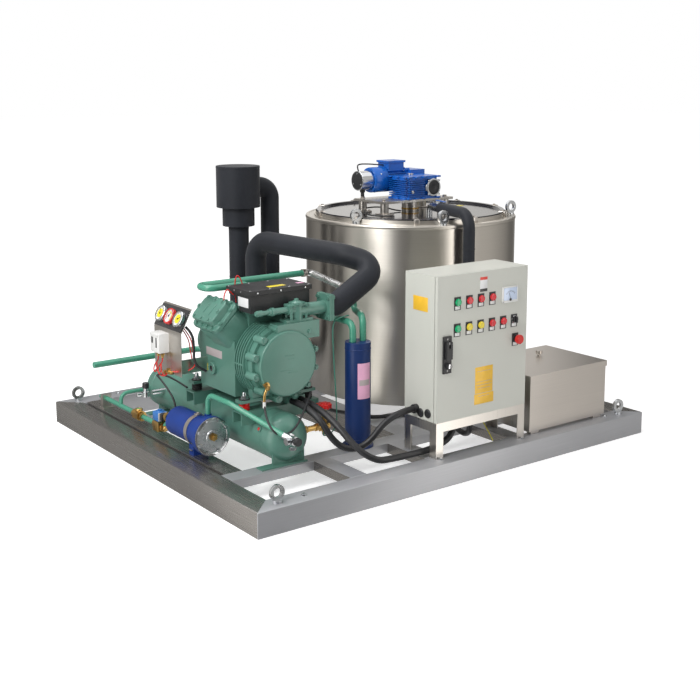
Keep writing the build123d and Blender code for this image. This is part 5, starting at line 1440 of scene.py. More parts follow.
# %% Red handwheel
handwheel_grip = bmesh.new()
knob_profile = ((0, 0), (0, 25), (3, 29), (17, 29), (20, 25), (20, 14), (23, 13), (23, 0))
lathe(handwheel_grip, spot(605, 440, 279), upward, knob_profile, 32)
for angle in turns(8):
    lobe = spot(605 + 27 * cos(angle), 440 + 27 * sin(angle), 280)
    prism(handwheel_grip, lobe, upward, 5.5, 18, 12)
grip = piece("handwheel_lobes", handwheel_grip, "red_plastic", body="handwheel")
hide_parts("red_handwheel")

# %% [markdown]
# Three pressure gauges sit on a dark sloping panel: a pale dial in a rim, with coloured bands,
# plain scale marks and a needle. A dial could be a painted disc. Thin raised marks stay crisp at
# any size of picture, and they say nothing but where the scale is. The panel leans, so everything
# is measured along its own directions.

# %% Gauge directions and scale
gauge_way = Vector((-99, 0, 53)).normalized()
gauge_up = Vector((53, 0, 99)).normalized()
gauge_side = gauge_way.cross(gauge_up)
gauge_rows = (855, 932.5, 1010)
needle_angles = (150, 120, 60)
scale_start, scale_step = 225, 27


def dial_way(degrees):
    """A direction across the dial, and the matrix that turns a mark along it."""
    angle = radians(degrees)
    way = gauge_side * cos(angle) + gauge_up * sin(angle)
    return way, Matrix((way, gauge_way.cross(way), gauge_way)).transposed().to_4x4()


print("gauges lean", round(90 - gauge_way.angle(upward) * 180 / pi, 1), "degrees back")

# %% [markdown]
# All three gauges are made in one loop, each kind of part into its own mesh: rims, dials,
# scale marks, bands and limit marks. The middle one differs, with a red rim and a coloured arc
# of small blocks, yellow up to the limit and red beyond it; the others have a yellow dial.

# %% Rims, dials and needles
gauge_rim = ((0, 0), (0, 35), (13, 35), (15, 33), (15, 29), (12, 28.5))
rims, red_rim, dials, bands, ticks, limits = (bmesh.new() for _ in range(6))
for index, gauge_y in enumerate(gauge_rows):
    seat = spot(176.5, gauge_y, 632.5)
    face = seat + gauge_way * 20 * mm
    lathe(red_rim if index == 1 else rims, seat + gauge_way * 8 * mm, gauge_way, gauge_rim, 48)
    lathe(dials, seat + gauge_way * 19 * mm, gauge_way, ((0, 30), (0.5, 0)), 48)
    for step in range(11):
        way, turn = dial_way(scale_start - scale_step * step)
        block(ticks, face + way * 24 * mm, (4 if step % 2 else 6, 0.9, 0.5), turn, 0)
    if index == 1:
        for step in range(10):
            way, turn = dial_way(scale_start - scale_step * (step + 0.5))
            block(bands if step < 7 else limits, face + way * 18 * mm, (4, 8.6, 0.4), turn, 0)
    else:
        lathe(bands, face, gauge_way, ((0, 20), (0.3, 20), (0.3, 0)), 40)
    way, turn = dial_way(needle_angles[index])
    block(ticks, face + way * 8 * mm + gauge_way * 1.2 * mm, (26, 1.6, 0.8), turn, 0.2)
    lathe(ticks, face, gauge_way, ((0, 4), (2, 4), (2.5, 3), (2.5, 0)), 20)
print("scale marks", len(ticks.faces), "faces")

# %% [markdown]
# Each mesh becomes one piece with its own finish. The dials stand for the plain solid of the
# gauges, which stays hidden under them.

# %% Gauge finishes
gauge_black = sticker_finish("gauge_black", (0.02, 0.02, 0.02))
piece("gauge_rims", rims, "bright_zinc")
piece("gauge_rim_red", red_rim, "red_plastic")
dial_piece = piece("gauge_dials", dials, "white_plastic")
piece("gauge_bands", bands, "white_plastic", stickers["bright_yellow"])
piece("gauge_limits", limits, "white_plastic", stickers["red"])
piece("gauge_scales", ticks, "white_plastic", gauge_black)
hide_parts("pressure_gauges")

# %% [markdown]
# The panel is glossy black sheet with three bare plates below the gauges. Its solid is plain steel,
# so a thin black face lies on it. A face of its own keeps a thin steel edge round it, as the real
# one has.

# %% Gauge panel
panel_face = bmesh.new()
panel_black = finish(
    "panel_black", (0.030, 0.030, 0.032), spread=0.2, gloss=(0.18, 0.30), cloud=4, bump=0.05,
    coat=0.5,
)
panel_turn = Matrix((gauge_way, -gauge_side, gauge_up)).transposed().to_4x4()
block(panel_face, spot(175, 932.5, 632) + gauge_way * 2.4 * mm, (1.2, 232, 100), panel_turn, 0.3)
piece("gauge_panel_face", panel_face, "black_gloss", panel_black)
for gauge_y in gauge_rows:
    plate = spot(167, gauge_y, 590) + gauge_way * 3.5 * mm
    name = f"gauge_plate_{int(gauge_y)}"
    label(name, plate, south, gauge_up, (30, 9), "white")

# %% [markdown]
# The white pressure control hangs under the gauges on a bare steel plate. Its solid is a plain box.
# A case with soft edges, a raised bar and two setting slots tells what it is, so it is made afresh
# from blocks. The slots are thin black blocks on the case's face: painted shade where the openings
# are.

# %% Pressure control
control = bmesh.new()
block(control, spot(126, 957, 530), (50, 80, 84), None, 4)
block(control, spot(100, 957, 566), (8, 66, 10), None, 2)
control_piece = piece("pressure_control_case", control, "white_plastic")
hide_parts("pressure_control")
# Black blocks where the setting slots open: painted shade.
slot_shades = bmesh.new()
block(slot_shades, spot(100.6, 940, 532), (1.6, 9, 42), None, 0.5)
block(slot_shades, spot(100.6, 975, 540), (1.6, 14, 26), None, 0.5)
piece("pressure_control_slot_shades", slot_shades, "black_plastic")

# %% [markdown]
# Two brass nuts under the control take its capillaries, and a brass tee at the side takes those of
# the gauges. They could be left out as too small, but brass shines between the dark parts round it.

# %% Pressure ports
ports = bmesh.new()
for port_y in (938, 976):
    prism(ports, spot(128, port_y, 490), downward, 9, 14)
    lathe(ports, spot(128, port_y, 476), downward, ((0, 0), (0, 6), (10, 6), (10, 0)), 18)
tee_profile = ((-16, 0), (-16, 8), (10, 8), (12, 5), (24, 5), (24, 0))
lathe(ports, spot(116, 850, 420), Vector((0, -1, 0.1)), tee_profile, 18)
prism(ports, spot(116, 866, 418), upward, 9, 18)
prism(ports, spot(116, 884, 414), north, 10, 14)
piece("pressure_ports", ports, "brass_metal")

# %% [markdown]
# The capillaries are thin tubes in red sleeves. They are too long for the way they go, so each
# makes one loop before it runs on. Every route is a short list of control points that steers a
# smooth curve, with the second one shifted a little from the first.

# %% Red capillaries
for index, port_y in enumerate((938, 976)):
    loop = [
        (128, port_y, 466), (126, port_y - 4, 448), (120, port_y + 16, 432),
        (112, port_y + 16, 410), (108, port_y - 2, 398), (108, port_y - 20, 412),
        (112, port_y - 18, 438), (118, port_y - 2, 446), (122, port_y + 8, 428),
        (120, port_y - 10, 398 - 8 * index), (118, 905, 396 - 6 * index), (116, 872, 412),
    ]
    wire(f"red_capillary_{index}", loop, 2.6, "red_plastic")
for index, (low_y, bulge) in enumerate(((800, 52), (828, 34))):
    loop = [
        (186, low_y + 60, 600), (208, low_y + 30, 560), (214 - bulge / 4, low_y + 8, 500),
        (206, low_y - 8, 450), (190, low_y + 20, 424), (160, low_y + 36, 418), (130, 866, 418),
    ]
    wire(f"gauge_capillary_{index}", loop, 2.6, "red_plastic")
cable(
    "gauge_supply",
    [
        (180, 830, 610), (202, 812, 585), (206, 806, 520), (200, 800, 470), (214, 790, 440),
        (250, 786, 420),
    ],
    5.5,
)

# %% [markdown]
# The separator is a navy blue bottle with a bare pink label low on its front. A flat plate would
# stand off a round wall. So an upright edge is spun part of the way round the bottle's axis, which
# lays the film on it, and a Solidify modifier gives it its thickness.

# %% Separator label
bottle_x, bottle_y = 750, 400
film_gap = 0.5


def curved_label(name, radius, bearings, heights, material):
    """A thin film bent round the upright bottle, from one bearing to another."""
    bm = bmesh.new()
    first, last = (radians(bearing) for bearing in bearings)
    reach = radius + film_gap
    edge_x, edge_y = bottle_x + reach * cos(first), bottle_y + reach * sin(first)
    ends = [bm.verts.new(spot(edge_x, edge_y, height)) for height in heights]
    upright = [bm.edges.new(ends)]
    bmesh.ops.spin(
        bm, geom=ends + upright, cent=spot(bottle_x, bottle_y, 0), axis=upward, angle=last - first,
        steps=12, use_merge=False
    )
    made = piece(name, bm, "white_plastic", material)
    thickness = made.modifiers.new("film", "SOLIDIFY")
    thickness.thickness = 0.0004
    return made


curved_label("separator_label", 54, (-128, -62), (315, 466), stickers["pink"])
curved_label("separator_label_lines", 54.5, (-120, -70), (372, 396), stickers["plate"])

# %% [markdown]
# Two bolts hold the bottle's foot, and a weld bead runs round it near each end. Like the
# receiver's, the beads are low turned ridges, because their shadow shows where the ends begin.

# %% Separator bolts and welds
separator_parts = bmesh.new()
for angle in turns(2):
    bolt(
        separator_parts, spot(bottle_x + 60 * cos(angle), bottle_y + 60 * sin(angle), 108), upward,
        6,
    )
piece("separator_bolts", separator_parts, "bright_zinc")
seams = bmesh.new()
for seam_z in (136, 520):
    weld_profile = ((-4, 53.5), (-2, 55.2), (2, 55.2), (4, 53.5))
    lathe(seams, spot(bottle_x, bottle_y, seam_z), upward, weld_profile, 56)
piece("separator_welds", seams, "navy_paint")

# %% [markdown]
# The drive on the drum begins with a worm gearbox in ribbed castings, bolted through lugs at every
# corner. Its solid is a smooth block. Ribs could be an array of one rib, but the three sides have
# ribs of different lengths, so one loop sets a rib on each side at every height.

# %% Gearbox ribs and lugs
castings = bmesh.new()
for step in range(9):
    rib_z = 1062 + 9.5 * step
    block(castings, spot(1516, 942, rib_z), (96, 9, 3.2), None, 0.8)
    block(castings, spot(1562, 1088, rib_z), (190, 9, 3.2), None, 0.8)
    block(castings, spot(1459, 1015, rib_z), (9, 128, 3.2), None, 0.8)
for lug_z in (1049, 1151):
    for lug_x in (1470, 1516, 1562, 1654):
        block(castings, spot(lug_x, 940, lug_z), (20, 16, 8), None, 2)
    for lug_y in (960, 1015, 1070):
        block(castings, spot(1458, lug_y, lug_z), (14, 20, 8), None, 2)
print("gearbox castings", len(castings.faces), "faces")

# %% [markdown]
# The motor is a round barrel with long cooling ribs, flanges at its right end and a smooth fan
# cowl at its left. A rib is a thin block. Turned about the motor's axis every 15 degrees, it
# covers the barrel, and the top is left free for the terminal cover.

# %% Motor ribs and cowl
motor_y, motor_z = 1147, 1131
flange_circle = 62


def round_motor(x, radius, angle):
    """A place round the drive motor's axis."""
    return spot(x, motor_y + radius * cos(angle), motor_z + radius * sin(angle))


for step, angle in enumerate(turns(24)):
    if step not in (5, 6, 7):
        out = Vector((0, cos(angle), sin(angle)))
        rib = spot(1522, motor_y, motor_z) + out * 56 * mm
        block(castings, rib, (110, 13, 2.6), Matrix.Rotation(angle, 4, "X"), 0.6)
for face_x in (1579, 1592):
    for angle in turns(4, 45):
        ear = round_motor(face_x, flange_circle, angle)
        lathe(castings, ear, east, ((-6, 0), (-6, 10), (6, 10), (6, 0)), 20)
cowl_profile = ((0, 61), (4, 62), (74, 62), (80, 58), (82, 50), (82, 30))
lathe(castings, spot(1466, motor_y, motor_z), west, cowl_profile, 48)
piece("drive_castings", castings, "blue_paint")

# %% [markdown]
# Bright bolts and screws hold the castings together: under and over the lugs, round the
# motor's flange, on its terminal cover and round the cowl. They share one zinc mesh with the
# bearing's ring and the oil plug, because all are plain turned or hexagonal parts.

# %% Drive bolts
drive_bolts = bmesh.new()
cover_screw = ((0, 0), (0, 5), (2, 4), (2.6, 0))
cowl_screw = ((0, 0), (0, 4), (2, 3), (2, 0))
ring_screw = ((0, 0), (0, 5), (5, 5), (6, 3), (6, 0))
for lug_x in (1470, 1562, 1654):
    for lug_z, way in ((1153, upward), (1045, downward)):
        bolt(drive_bolts, spot(lug_x, 938, lug_z), way, 4.6, False)
for angle in turns(4, 45):
    bolt(drive_bolts, round_motor(1572, flange_circle, angle), west, 5, False)
    ring_place = spot(1625 + 47 * cos(angle), 942, 1098 + 47 * sin(angle))
    lathe(drive_bolts, ring_place, south, ring_screw, 16)
for screw_x in (1476, 1568):
    for screw_y in (1105, 1189):
        lathe(drive_bolts, spot(screw_x, screw_y, 1220), upward, cover_screw, 16)
for angle in turns(3, 30):
    out = Vector((0, cos(angle), sin(angle)))
    lathe(drive_bolts, round_motor(1420, flange_circle, angle), out, cowl_screw, 16)
lathe(drive_bolts, spot(1625, 943, 1098), south, ((0, 44), (3, 44), (5, 42), (5, 36), (3, 35)), 48)
lathe(drive_bolts, spot(1492, 943, 1080), south, ((0, 0), (0, 9), (4, 9), (6, 6), (6, 0)), 20)
block(drive_bolts, spot(1585, 944, 1098), (14, 2, 30), None, 0.4)
piece("drive_bolts", drive_bolts, "bright_zinc")

# %% [markdown]
# Dark discs close the gearbox's bearing and the sensor cap, and the cap itself is polished. It
# could share the zinc of the bolts, but it mirrors the room, so it gets a chrome of its own.
# Three screws and a thin ring trim its end.

# %% End discs and sensor cap
hub_disc = bmesh.new()
hub_profile = ((0, 36), (2.5, 35), (3.5, 30), (3.5, 12), (2.5, 10), (2.5, 0))
lathe(hub_disc, spot(1625, 941, 1098), south, hub_profile, 48)
lathe(hub_disc, spot(1313, motor_y, motor_z), west, ((0, 44), (1.6, 43), (2.2, 30), (2.2, 0)), 48)
piece("drive_end_discs", hub_disc, "black_plastic")
cap_trim = bmesh.new()
for angle in turns(3, 90):
    lathe(cap_trim, round_motor(1311, 34, angle), west, ((0, 0), (0, 4), (1.6, 3.4), (2, 0)), 16)
trim_profile = ((-2, 47.6), (0, 47.6), (1.6, 46), (1.6, 43))
lathe(cap_trim, spot(1314, motor_y, motor_z), west, trim_profile, 48)
piece("sensor_cap_trim", cap_trim, "bright_zinc")
finishes["chrome"] = finish(
    "polished_chrome", (0.80, 0.81, 0.83), spread=0.04, gloss=(0.06, 0.12), cloud=8, bump=0.03,
    metallic=1.0,
)
softened["sensor_cap"].data.materials[0] = finishes["chrome"]

# %% [markdown]
# Where the main shaft leaves the drum's cover it passes through a brass gland: a flange with six
# bolts, a neck and a collar. It is turned in one profile, which is also how the real one is made.

# %% Shaft gland
bearing = bmesh.new()
drum_x, drum_y = 1570, 1053
gland_profile = ((0, 44), (8, 44), (10, 36), (30, 36), (32, 40), (46, 40))
lathe(bearing, spot(drum_x, drum_y, 986), upward, gland_profile, 48)
for angle in turns(6):
    bolt(bearing, spot(drum_x + 38 * cos(angle), drum_y + 38 * sin(angle), 994), upward, 4, False)
piece("shaft_gland", bearing, "brass_metal")

# %% [markdown]
# The sensor's cable runs over the motor to the cap, lying loosely, and a black conduit hangs from
# the cowl with a gland at each end. The cable is soft; the conduit is a stiff turned part.

# %% Sensor cable and conduit
cable(
    "sensor_cable",
    [
        (1476, 1147, 1200), (1440, 1147, 1204), (1380, 1147, 1210), (1318, 1147, 1212),
        (1312, 1147, 1196), (1322, 1147, 1174),
    ],
    3.4,
)
conduit = bmesh.new()
conduit_profile = ((0, 0), (0, 13), (14, 13), (16, 9), (104, 9), (104, 14), (110, 14))
gland_nut = ((0, 0), (0, 17), (8, 17), (12, 12), (12, 0))
lathe(conduit, spot(1345, motor_y, 1088), downward, conduit_profile, 24)
lathe(conduit, spot(1345, motor_y, 978), upward, gland_nut, 24)
piece("drive_conduit", conduit, "black_plastic")

# %% [markdown]
# The bridge that carries the drive stands on four stainless posts with bolted feet, and small
# clamps hold the glossy cover down all round. The clamps could be one ring; ten separate ones,
# spaced evenly and each with its bolt, are what the eye finds at the cover's edge.

# %% Bridge feet and cover clamps
bridge_parts = bmesh.new()
clamp_circle = 458
for post_x in (1340, 1720):
    for post_y in (968, 1138):
        block(bridge_parts, spot(post_x, post_y, 982), (64, 64, 7), None, 1)
        bolt(bridge_parts, spot(post_x, post_y, 1045), upward, 10)
        for side in (-1, 1):
            bolt(bridge_parts, spot(post_x + 24 * side, post_y - 20, 985), upward, 5)
for angle in turns(10, 18):
    out = Vector((cos(angle), sin(angle), 0))
    turn = Matrix.Rotation(angle, 4, "Z")
    place = spot(drum_x, drum_y, 984) + out * clamp_circle * mm
    block(bridge_parts, place, (34, 22, 12), turn, 2)
    block(bridge_parts, place + out * 14 * mm - upward * 9 * mm, (8, 26, 26), turn, 2)
    bolt(bridge_parts, place + upward * 6 * mm, upward, 6)
piece("cover_clamps", bridge_parts, "sheet_steel")

# %% [markdown]
# A rolled bead finishes the jacket's top edge, a low step runs round the cover, and one welded seam
# runs down the jacket behind. The bead could be a torus laid on the edge. Spinning its true section
# gives the flat inner lip too.

# %% Drum rim and seam
rim_bead = bmesh.new()
rim_profile = (
    (-3, 514.5), (0, 517), (4, 518), (9, 517), (12, 515), (13.5, 510), (13.8, 500),
)
lathe(rim_bead, spot(drum_x, drum_y, 950), upward, rim_profile, 160)
lathe(rim_bead, spot(drum_x, drum_y, 963), upward, ((0, 476), (4, 475), (4, 468), (20, 466)), 160)
piece("drum_rim", rim_bead, "drum_steel")
seam = bmesh.new()
angle = radians(118)
seam_place = spot(drum_x + 515 * cos(angle), drum_y + 515 * sin(angle), 540)
block(seam, seam_place, (1.6, 6, 820), Matrix.Rotation(angle, 4, "Z"), 0.6)
piece("drum_seam", seam, "drum_steel")

# %% [markdown]
# A bare yellow strip lies on the cover, and two thin cables run over it from the bridge. They lie
# loosely on the cover, so each is a soft curve that stays just above it. A length is listed with
# each, which is not used.

# %% Cover mark and cables
label(
    "drum_cover_mark", spot(1867, 1049, 978.6), (1, 0.3, 0), (-0.3, 1, 0), (120, 34),
    "bright_yellow",
)
cover_cables = [
    (
        "cover_cable_left", 0.30,
        [
            (1345, 1130, 984), (1310, 1090, 992), (1270, 1020, 986), (1250, 960, 984),
            (1290, 900, 984), (1330, 880, 982),
        ],
    ),
    (
        "cover_cable_right", 0.20,
        [
            (1345, 1160, 990), (1400, 1140, 1000), (1450, 1090, 996), (1480, 1060, 984),
            (1500, 1040, 982),
        ],
    ),
]
for cable_name, cable_length, cable_points in cover_cables:
    cable(cable_name, cable_points, 3.4)

# %% [markdown]
# The insulated pipes are sleeves of soft black foam, so they show a taped joint here and there: a
# fine band with a slight waist. A drawn line would vanish on black. A turned ridge of less than a
# millimetre catches just enough light.

# %% Foam joints
joints_mesh = bmesh.new()


def foam_joint(place, axis, radius):
    """A taped joint round a foam sleeve."""
    low, high = radius - 0.6, radius + 0.9
    lathe(joints_mesh, place, axis, ((-4, low), (-2.6, high), (2.6, high), (4, low)), 40)


for joint_z, sleeve_radius in ((930, 47), (700, 47), (420, 47), (1028, 75), (1216, 102)):
    foam_joint(spot(731, 1300, joint_z), upward, sleeve_radius)
for joint_z in (860, 560):
    foam_joint(spot(1457, 500, joint_z), upward, 27)
piece("foam_joints", joints_mesh, "black_foam")

# %% [markdown]
# The cabinet's door carries nine lamps in two rows. The lens of each is a ribbed dome in green, red
# or yellow, on a black bezel. Clear glass over a lamp would cost render time and show nothing,
# because the lamps are off; a coated plastic with a soft gloss looks like it. The ribs are twelve
# small turned bars round the dome.

# %% Lamp lenses
lens_colours = {"green": (0.0, 0.40, 0.15), "red": (0.66, 0.02, 0.03), "yellow": (0.84, 0.66, 0.04)}
lamp_order = {
    738: ("green", "red", "red", "red"),
    629: ("green", "yellow", "yellow", "red", "red"),
}
first_lamp, lamp_step = 994, 64
rib_circle = 14.2
lens_profile = ((0, 14.6), (5, 14.6), (7.5, 13.6), (9, 11), (9, 9.4), (8.4, 9), (8.4, 0))
lenses = {colour: bmesh.new() for colour in lens_colours}
bezels, fields = bmesh.new(), bmesh.new()
for lamp_z, colours in lamp_order.items():
    for index, colour in enumerate(colours):
        lamp_x = first_lamp + lamp_step * index
        lens = lenses[colour]
        lathe(lens, spot(lamp_x, 57.5, lamp_z), south, lens_profile, 40)
        for angle in turns(12):
            rib = spot(lamp_x + rib_circle * cos(angle), 57, lamp_z + rib_circle * sin(angle))
            lathe(lens, rib, south, ((0, 1.1), (5.4, 1.1), (6, 0)), 8)
        lathe(bezels, spot(lamp_x, 60, lamp_z), south, ((0, 16), (2, 16), (3, 15), (3, 14)), 40)
        block(fields, spot(lamp_x, 59.3, lamp_z - 23.5), (25, 0.8, 13), None, 0.3)
print("lamps", sum(len(colours) for colours in lamp_order.values()))

# %% [markdown]
# Each colour of lens is one piece, and all three together stand for the plain lamps. They ride
# on the door, so they swing with it.

# %% Lamp finishes
for colour, shape in lenses.items():
    lens_finish = finish(
        f"lens_{colour}", lens_colours[colour], spread=0.08, gloss=(0.16, 0.26), cloud=24,
        bump=0.06, coat=0.5,
    )
    lens = piece(f"lamp_lenses_{colour}", shape, "lamp_plastic", lens_finish, body="door")
    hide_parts("indicator_lamps")

# %% [markdown]
# Every lamp and switch has a black legend plate with a pale field under it, left bare here. A
# bright ring seats the selector and the lock. The pale fields share one mesh, and so do the rings,
# because they share a finish.

# %% Legends and switch rings
for legend_x, legend_z in ((1313, 605.5), (1322, 523)):
    block(fields, spot(legend_x, 59.3, legend_z), (25, 0.8, 13), None, 0.3)
piece("legend_fields", fields, "white_plastic", body="door")
lathe(bezels, spot(1322, 60, 545), south, ((0, 17), (5, 17), (7, 15), (7, 10)), 40)
piece("lamp_bezels", bezels, "black_plastic", body="door")
rings = bmesh.new()
lathe(rings, spot(1313, 60, 629), south, ((0, 16), (4, 16), (5.5, 14.5), (5.5, 12)), 40)
lathe(rings, spot(939, 40, 485), south, ((-2, 9), (1.2, 9), (1.8, 8), (1.8, 0)), 32)
piece("switch_rings", rings, "bright_zinc", finishes["chrome"], body="door")

# %% [markdown]
# A black block on the lock's face paints the shade of its key slot, and two flat screws hold the
# handle's plate; they lie nearly flush, so that the handle swings clear of them. The stop button's
# cap is a red mushroom turned from one profile.
# It rides on the button's own body, because it can be pressed.

# %% Lock, plate marks and stop button
slot_shade_and_screws = bmesh.new()
# Black block on the lock: painted shade of the key slot.
block(slot_shade_and_screws, spot(939, 38, 485), (2, 0.8, 9), None, 0.2)
for screw_z in (464, 594):
    lathe(
        slot_shade_and_screws, spot(939, 53.4, screw_z), south, ((0, 0), (0, 5), (0.3, 5), (0.5, 3.5), (0.5, 0)),
        20,
    )
piece("handle_plate_marks", slot_shade_and_screws, "black_plastic", finishes["black_gloss"], body="door")
stop_cap = bmesh.new()
lathe(
    stop_cap, spot(1322, 45, 545), south,
    ((0, 12), (2, 18), (8, 20), (14, 19.6), (17.5, 16), (18.4, 9), (18.5, 0)), 48,
)
piece("stop_button_cap", stop_cap, "red_plastic", body="stop")

# %% [markdown]
# The voltmeter is a pale square face with a scale of plain marks, a needle and a black pivot. A
# dial could be drawn in a texture. Marks of half a millimetre stay crisp in any picture, and they
# show no unit and no number.

# %% Panel meter
meter_x = 1282.5
stickers["meter"] = finish(
    "meter_face", (0.60, 0.70, 0.88), spread=0.03, gloss=(0.10, 0.18), cloud=6, bump=0.03, coat=0.8,
)
label("meter_dial", spot(meter_x, 52.6, 741), east, upward, (75, 52), "meter", "door")
meter_marks = bmesh.new()
for step in range(12):
    angle = radians(112 if step == 11 else 140 - 10 * step)
    way = Vector((cos(angle), 0, sin(angle)))
    turn = Matrix((way, way.cross(north), north)).transposed().to_4x4()
    if step == 11:
        block(meter_marks, spot(meter_x, 51.8, 722) + way * 14 * mm, (28, 1.0, 0.6), turn, 0)
    else:
        mark = (5 if step % 5 else 8, 0.9, 0.5)
        block(meter_marks, spot(meter_x, 52, 722) + way * 31 * mm, mark, turn, 0)
lathe(meter_marks, spot(meter_x, 52.4, 717), south, ((0, 6), (1.4, 6), (2, 5), (2, 0)), 24)
piece("meter_scale", meter_marks, "white_plastic", gauge_black, body="door")
meter_trim = bmesh.new()
meter_edges = (
    (meter_x, 770, 85, 4), (meter_x, 708, 85, 6), (1242, 739, 4, 64), (1323, 739, 4, 64),
)
for edge_x, edge_z, width, height in meter_edges:
    block(meter_trim, spot(edge_x, 53, edge_z), (width, 3, height), None, 0.8)
piece("meter_frame", meter_trim, "white_plastic", body="door")

# %% [markdown]
# Stickers on the cabinet are bare fields of colour in the places and sizes of the real ones.
# Writing is left off, whatever the real ones say; five thin rules on the large notice keep it from
# looking like plain card. A loop sets the rules, because only their heights and widths differ.

# %% Cabinet stickers
label("door_label_top", spot(1137, 60.8, 820), east, upward, (40, 12), "red", "door")
label("door_label_middle", spot(1137, 60.8, 796), east, upward, (40, 36), "white", "door")
label("door_label_foot", spot(1137, 60.8, 771.5), east, upward, (40, 12), "black", "door")
label("door_notice", spot(1147.5, 60.8, 395), east, upward, (99, 112), "yellow", "door")
label("door_notice_foot", spot(1149, 60.8, 315), east, upward, (108, 44), "yellow", "door")
for index, (line_z, width) in enumerate(((432, 78), (388, 84), (374, 84), (360, 70), (326, 60))):
    rule = spot(1147.5, 60.5, line_z)
    name = f"door_notice_rule_{index}"
    label(name, rule, east, upward, (width, 1.6), "plate", "door")
label("cabinet_side_notice", spot(888.8, 165.5, 728.5), south, upward, (91, 59), "yellow")

# %% [markdown]
# Two round plugs close spare cable holes, a black conduit drops from the cabinet's floor to the
# frame, and yellow earth leads join the stand and the pump to it. The conduit is stiff and stays a
# plain wire; the leads are soft.

# %% Plugs, conduit and earth leads
plugs = bmesh.new()
for plug_y, plug_z in ((113, 281), (158, 275)):
    lathe(
        plugs, spot(889.5, plug_y, plug_z), west,
        ((0, 19), (3, 19), (6, 16), (6, 12), (3, 11), (3, 0)), 32,
    )
piece("cabinet_plugs", plugs, "black_plastic")
wire(
    "cabinet_conduit",
    [(1085, 156, 250), (1158, 150, 190), (1160, 158, 132), (1185, 240, 114), (1230, 330, 114)], 12,
    "black_plastic",
)
finishes["earth_yellow"] = finish(
    "earth_yellow", (0.70, 0.62, 0.03), spread=0.1, gloss=(0.3, 0.4), cloud=20, bump=0.1,
)
cable(
    "earth_lead", [(905, 90, 104), (925, 96, 132), (955, 110, 190), (990, 130, 250)], 2.2,
    "earth_yellow",
)
cable(
    "earth_lead_pump", [(1225, 238, 278), (1232, 190, 215), (1240, 125, 140), (1240, 96, 104)], 2.2,
    "earth_yellow",
)

# %% [markdown]
# The water valve has a hexagon union at each end and stands on a stainless leg. Its solid gives the
# body. Hexagons and a leg are set along the pipe's own direction, measured from where the pipe
# leaves the drum, because it runs at a slant.

# %% Water valve
water_way = Vector((1457 - 1560, 500 - 895, 0)).normalized()
pipe_start = spot(1560, 895, 1017)
unions = bmesh.new()
for reach in (38, 54, 116, 126):
    prism(unions, pipe_start + water_way * reach * mm, water_way, 18, 9)
union_profile = ((0, 14), (2, 19), (10, 21), (32, 21), (40, 19), (42, 14))
lathe(unions, pipe_start + water_way * 66 * mm, water_way, union_profile, 32)
block(unions, spot(1560, 895, 990) + water_way * 104 * mm, (6, 24, 54), None, 1)
block(unions, spot(1560, 895, 966) + water_way * 104 * mm, (30, 30, 4), None, 1)
piece("water_valve_unions", unions, "bright_zinc")

# %% [markdown]
# Bolts hold the tank, the stand and the machine to the frame, and a ground weld runs across each
# mitred corner. A weld could be left out, since the ring has none; a raised line of half a
# millimetre makes the corners look joined.

# %% Frame bolts and welds
frame_bolts = bmesh.new()
for bolt_x, bolt_y in ((235, 52), (1930, 123), (1906, 60), (1900, 1700), (300, 1748)):
    bolt(frame_bolts, spot(bolt_x, bolt_y, 100), upward, 8.5)
for leg_x in (909, 1369):
    bolt(frame_bolts, spot(leg_x, 52, 100), upward, 7)
piece("frame_bolts", frame_bolts, "bright_zinc")
seam_lines = bmesh.new()
mitres = ((50, 50, 45), (2050, 50, -45), (50, 1750, -45), (2050, 1750, 45))
for corner_x, corner_y, turn_degrees in mitres:
    turn = Matrix.Rotation(radians(turn_degrees), 4, "Z")
    block(seam_lines, spot(corner_x, corner_y, 99.8), (124, 2.4, 0.8), turn, 0.3)
piece("frame_welds", seam_lines, "frame_steel")

# %% [markdown]
# The tank and its lid are folded from one sheet, so the grain runs level on the front and the other
# way on the sides that face left and right. Those faces take the second steel, as the frame's side
# beams did.

# %% Grain of the tank's sides
split_sideways(softened["water_tank"], finishes["sheet_z"])
split_sideways(softened["tank_lid"], finishes["sheet_z"])
print("tank materials", len(softened["water_tank"].data.materials))

# %% [markdown]
# The drive's power cable runs low along the frame behind the compressor, and the solenoid's cable
# rises in a loop from its plug. Both hang or lie under their own weight. Each route has only the
# points where it changes its way, and the curve rounds them off.

# %% Low cables
cable(
    "drive_cable_low",
    [
        (577, 640, 338), (680, 640, 250), (780, 640, 190), (880, 640, 160), (1010, 636, 116),
        (1150, 620, 110), (1230, 588, 110),
    ],
    9,
)
cable(
    "solenoid_cable",
    [
        (190, 978, 190), (204, 976, 196), (206, 985, 250), (196, 1030, 300), (196, 1110, 334),
        (214, 1170, 330), (226, 1120, 338), (240, 1040, 330), (250, 954, 312),
    ],
    4.4,
)

# %% [markdown]
# The two cable hoses are corrugated plastic tubes that hang free between the compressor and the
# cabinet. They follow the same smooth curve as their solids. Its line is read back from the curve,
# and cut into short equal steps, two for each rib, so that the ribs keep one pitch round every
# bend.

# %% A hose's smooth line
rib_pitch = 0.0055
rib_depth = 0.0016


def hose_line(name, points):
    """Evenly spaced places along a route's smooth curve, two for each rib."""
    line = route_curve(f"{name}_line", points, 0)
    walk = [vert.co.copy() for vert in bpy.data.meshes.new_from_object(line).vertices]
    bpy.data.objects.remove(line)
    runs = [(b - a).length for a, b in zip(walk, walk[1:])]
    steps = 2 * round(sum(runs) / rib_pitch)
    path, reach, index = [], 0.0, 0
    for step in range(steps + 1):
        wanted = sum(runs) * step / steps
        while index < len(runs) - 1 and reach + runs[index] < wanted:
            reach += runs[index]
            index += 1
        share = min(1.0, (wanted - reach) / runs[index])
        path.append(walk[index].lerp(walk[index + 1], share))
    return path


print("ribs per metre", round(1 / rib_pitch))

# %% [markdown]
# The tube is one circle pulled along that line. At every step it is turned to the line's new
# direction and made a little wider or narrower, which gives the ribs. An array of rings would
# open at the bends; a tube grown from its own last edge stays closed. A small disc closes each
# end.

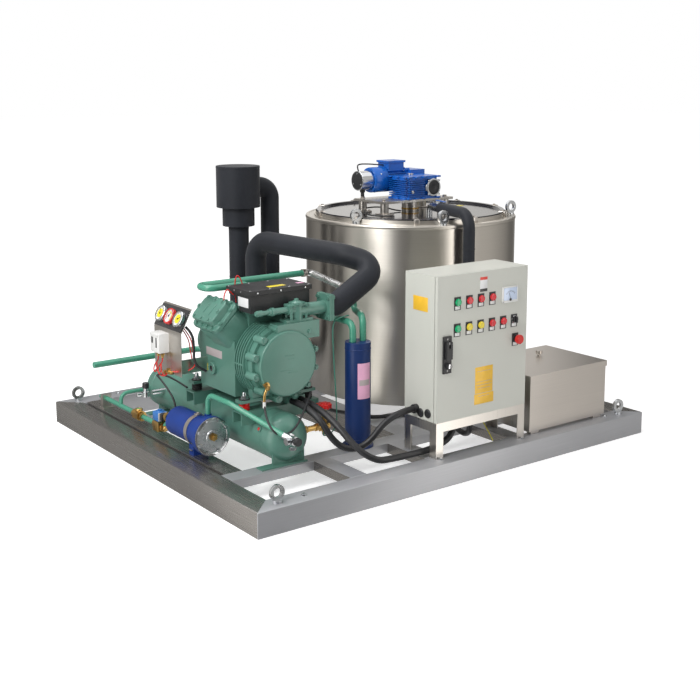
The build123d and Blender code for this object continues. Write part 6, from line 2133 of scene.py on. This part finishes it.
# %% A ribbed tube
def ribbed_tube(name, points, radius):
    """A corrugated tube swept along a route's smooth line, and the line itself."""
    path = hose_line(name, points)
    bm = bmesh.new()
    aim = (path[1] - path[0]).normalized()
    upright = aim.to_track_quat("Z", "Y").to_matrix().to_4x4()
    start = Matrix.Translation(path[0]) @ upright
    bmesh.ops.create_circle(bm, segments=20, radius=radius, cap_ends=True, matrix=start)
    open_edges = list(bm.edges)
    size = radius
    for step in range(1, len(path)):
        new_aim = (path[min(step + 1, len(path) - 1)] - path[step - 1]).normalized()
        new_size = radius - rib_depth * (step % 2)
        swing = aim.rotation_difference(new_aim).to_matrix().to_4x4()
        grown = bmesh.ops.extrude_edge_only(bm, edges=open_edges)["geom"]
        open_edges = [part for part in grown if isinstance(part, bmesh.types.BMEdge)]
        moved = [part for part in grown if isinstance(part, bmesh.types.BMVert)]
        scale = Matrix.Scale(new_size / size, 4)
        back = Matrix.Translation(-path[step - 1])
        matrix = Matrix.Translation(path[step]) @ swing @ scale @ back
        bmesh.ops.transform(bm, matrix=matrix, verts=moved)
        aim, size = new_aim, new_size
    bmesh.ops.contextual_create(bm, geom=open_edges)
    bmesh.ops.recalc_face_normals(bm, faces=bm.faces)
    shade(bm, 80)
    return link_mesh(name, bm), [tuple(point) for point in path]


print("ribs", rib_depth * 1000, "mm deep")

# %% [markdown]
# Each hose takes the route of its solid, in millimetres from the skid's corner, and its real length
# is printed. The path it follows is returned with it, but not used here.

# %% Two cable hoses
hose_radius = 0.014
hose_routes = {
    "cable_hose_upper": (
        [
            (478, 488, 321), (478, 325, 321), (540, 262, 165), (650, 225, 148), (748, 184, 288),
            (870, 184, 288),
        ],
        0.705,
    ),
    "cable_hose_lower": (
        [(520, 488, 321), (520, 330, 321), (590, 124, 132), (760, 122, 122), (940, 124, 122),
         (1080, 160, 150), (1080, 160, 236)],
        0.974,
    ),
}
for node, (route, length) in hose_routes.items():
    places = from_corner(route)
    hose, hose_path = ribbed_tube(f"{node}_ribbed", places, hose_radius)
    settle(hose, "machine", "black_foam", finishes["black_plastic"])
    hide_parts(node)
    print(node, "length", length)
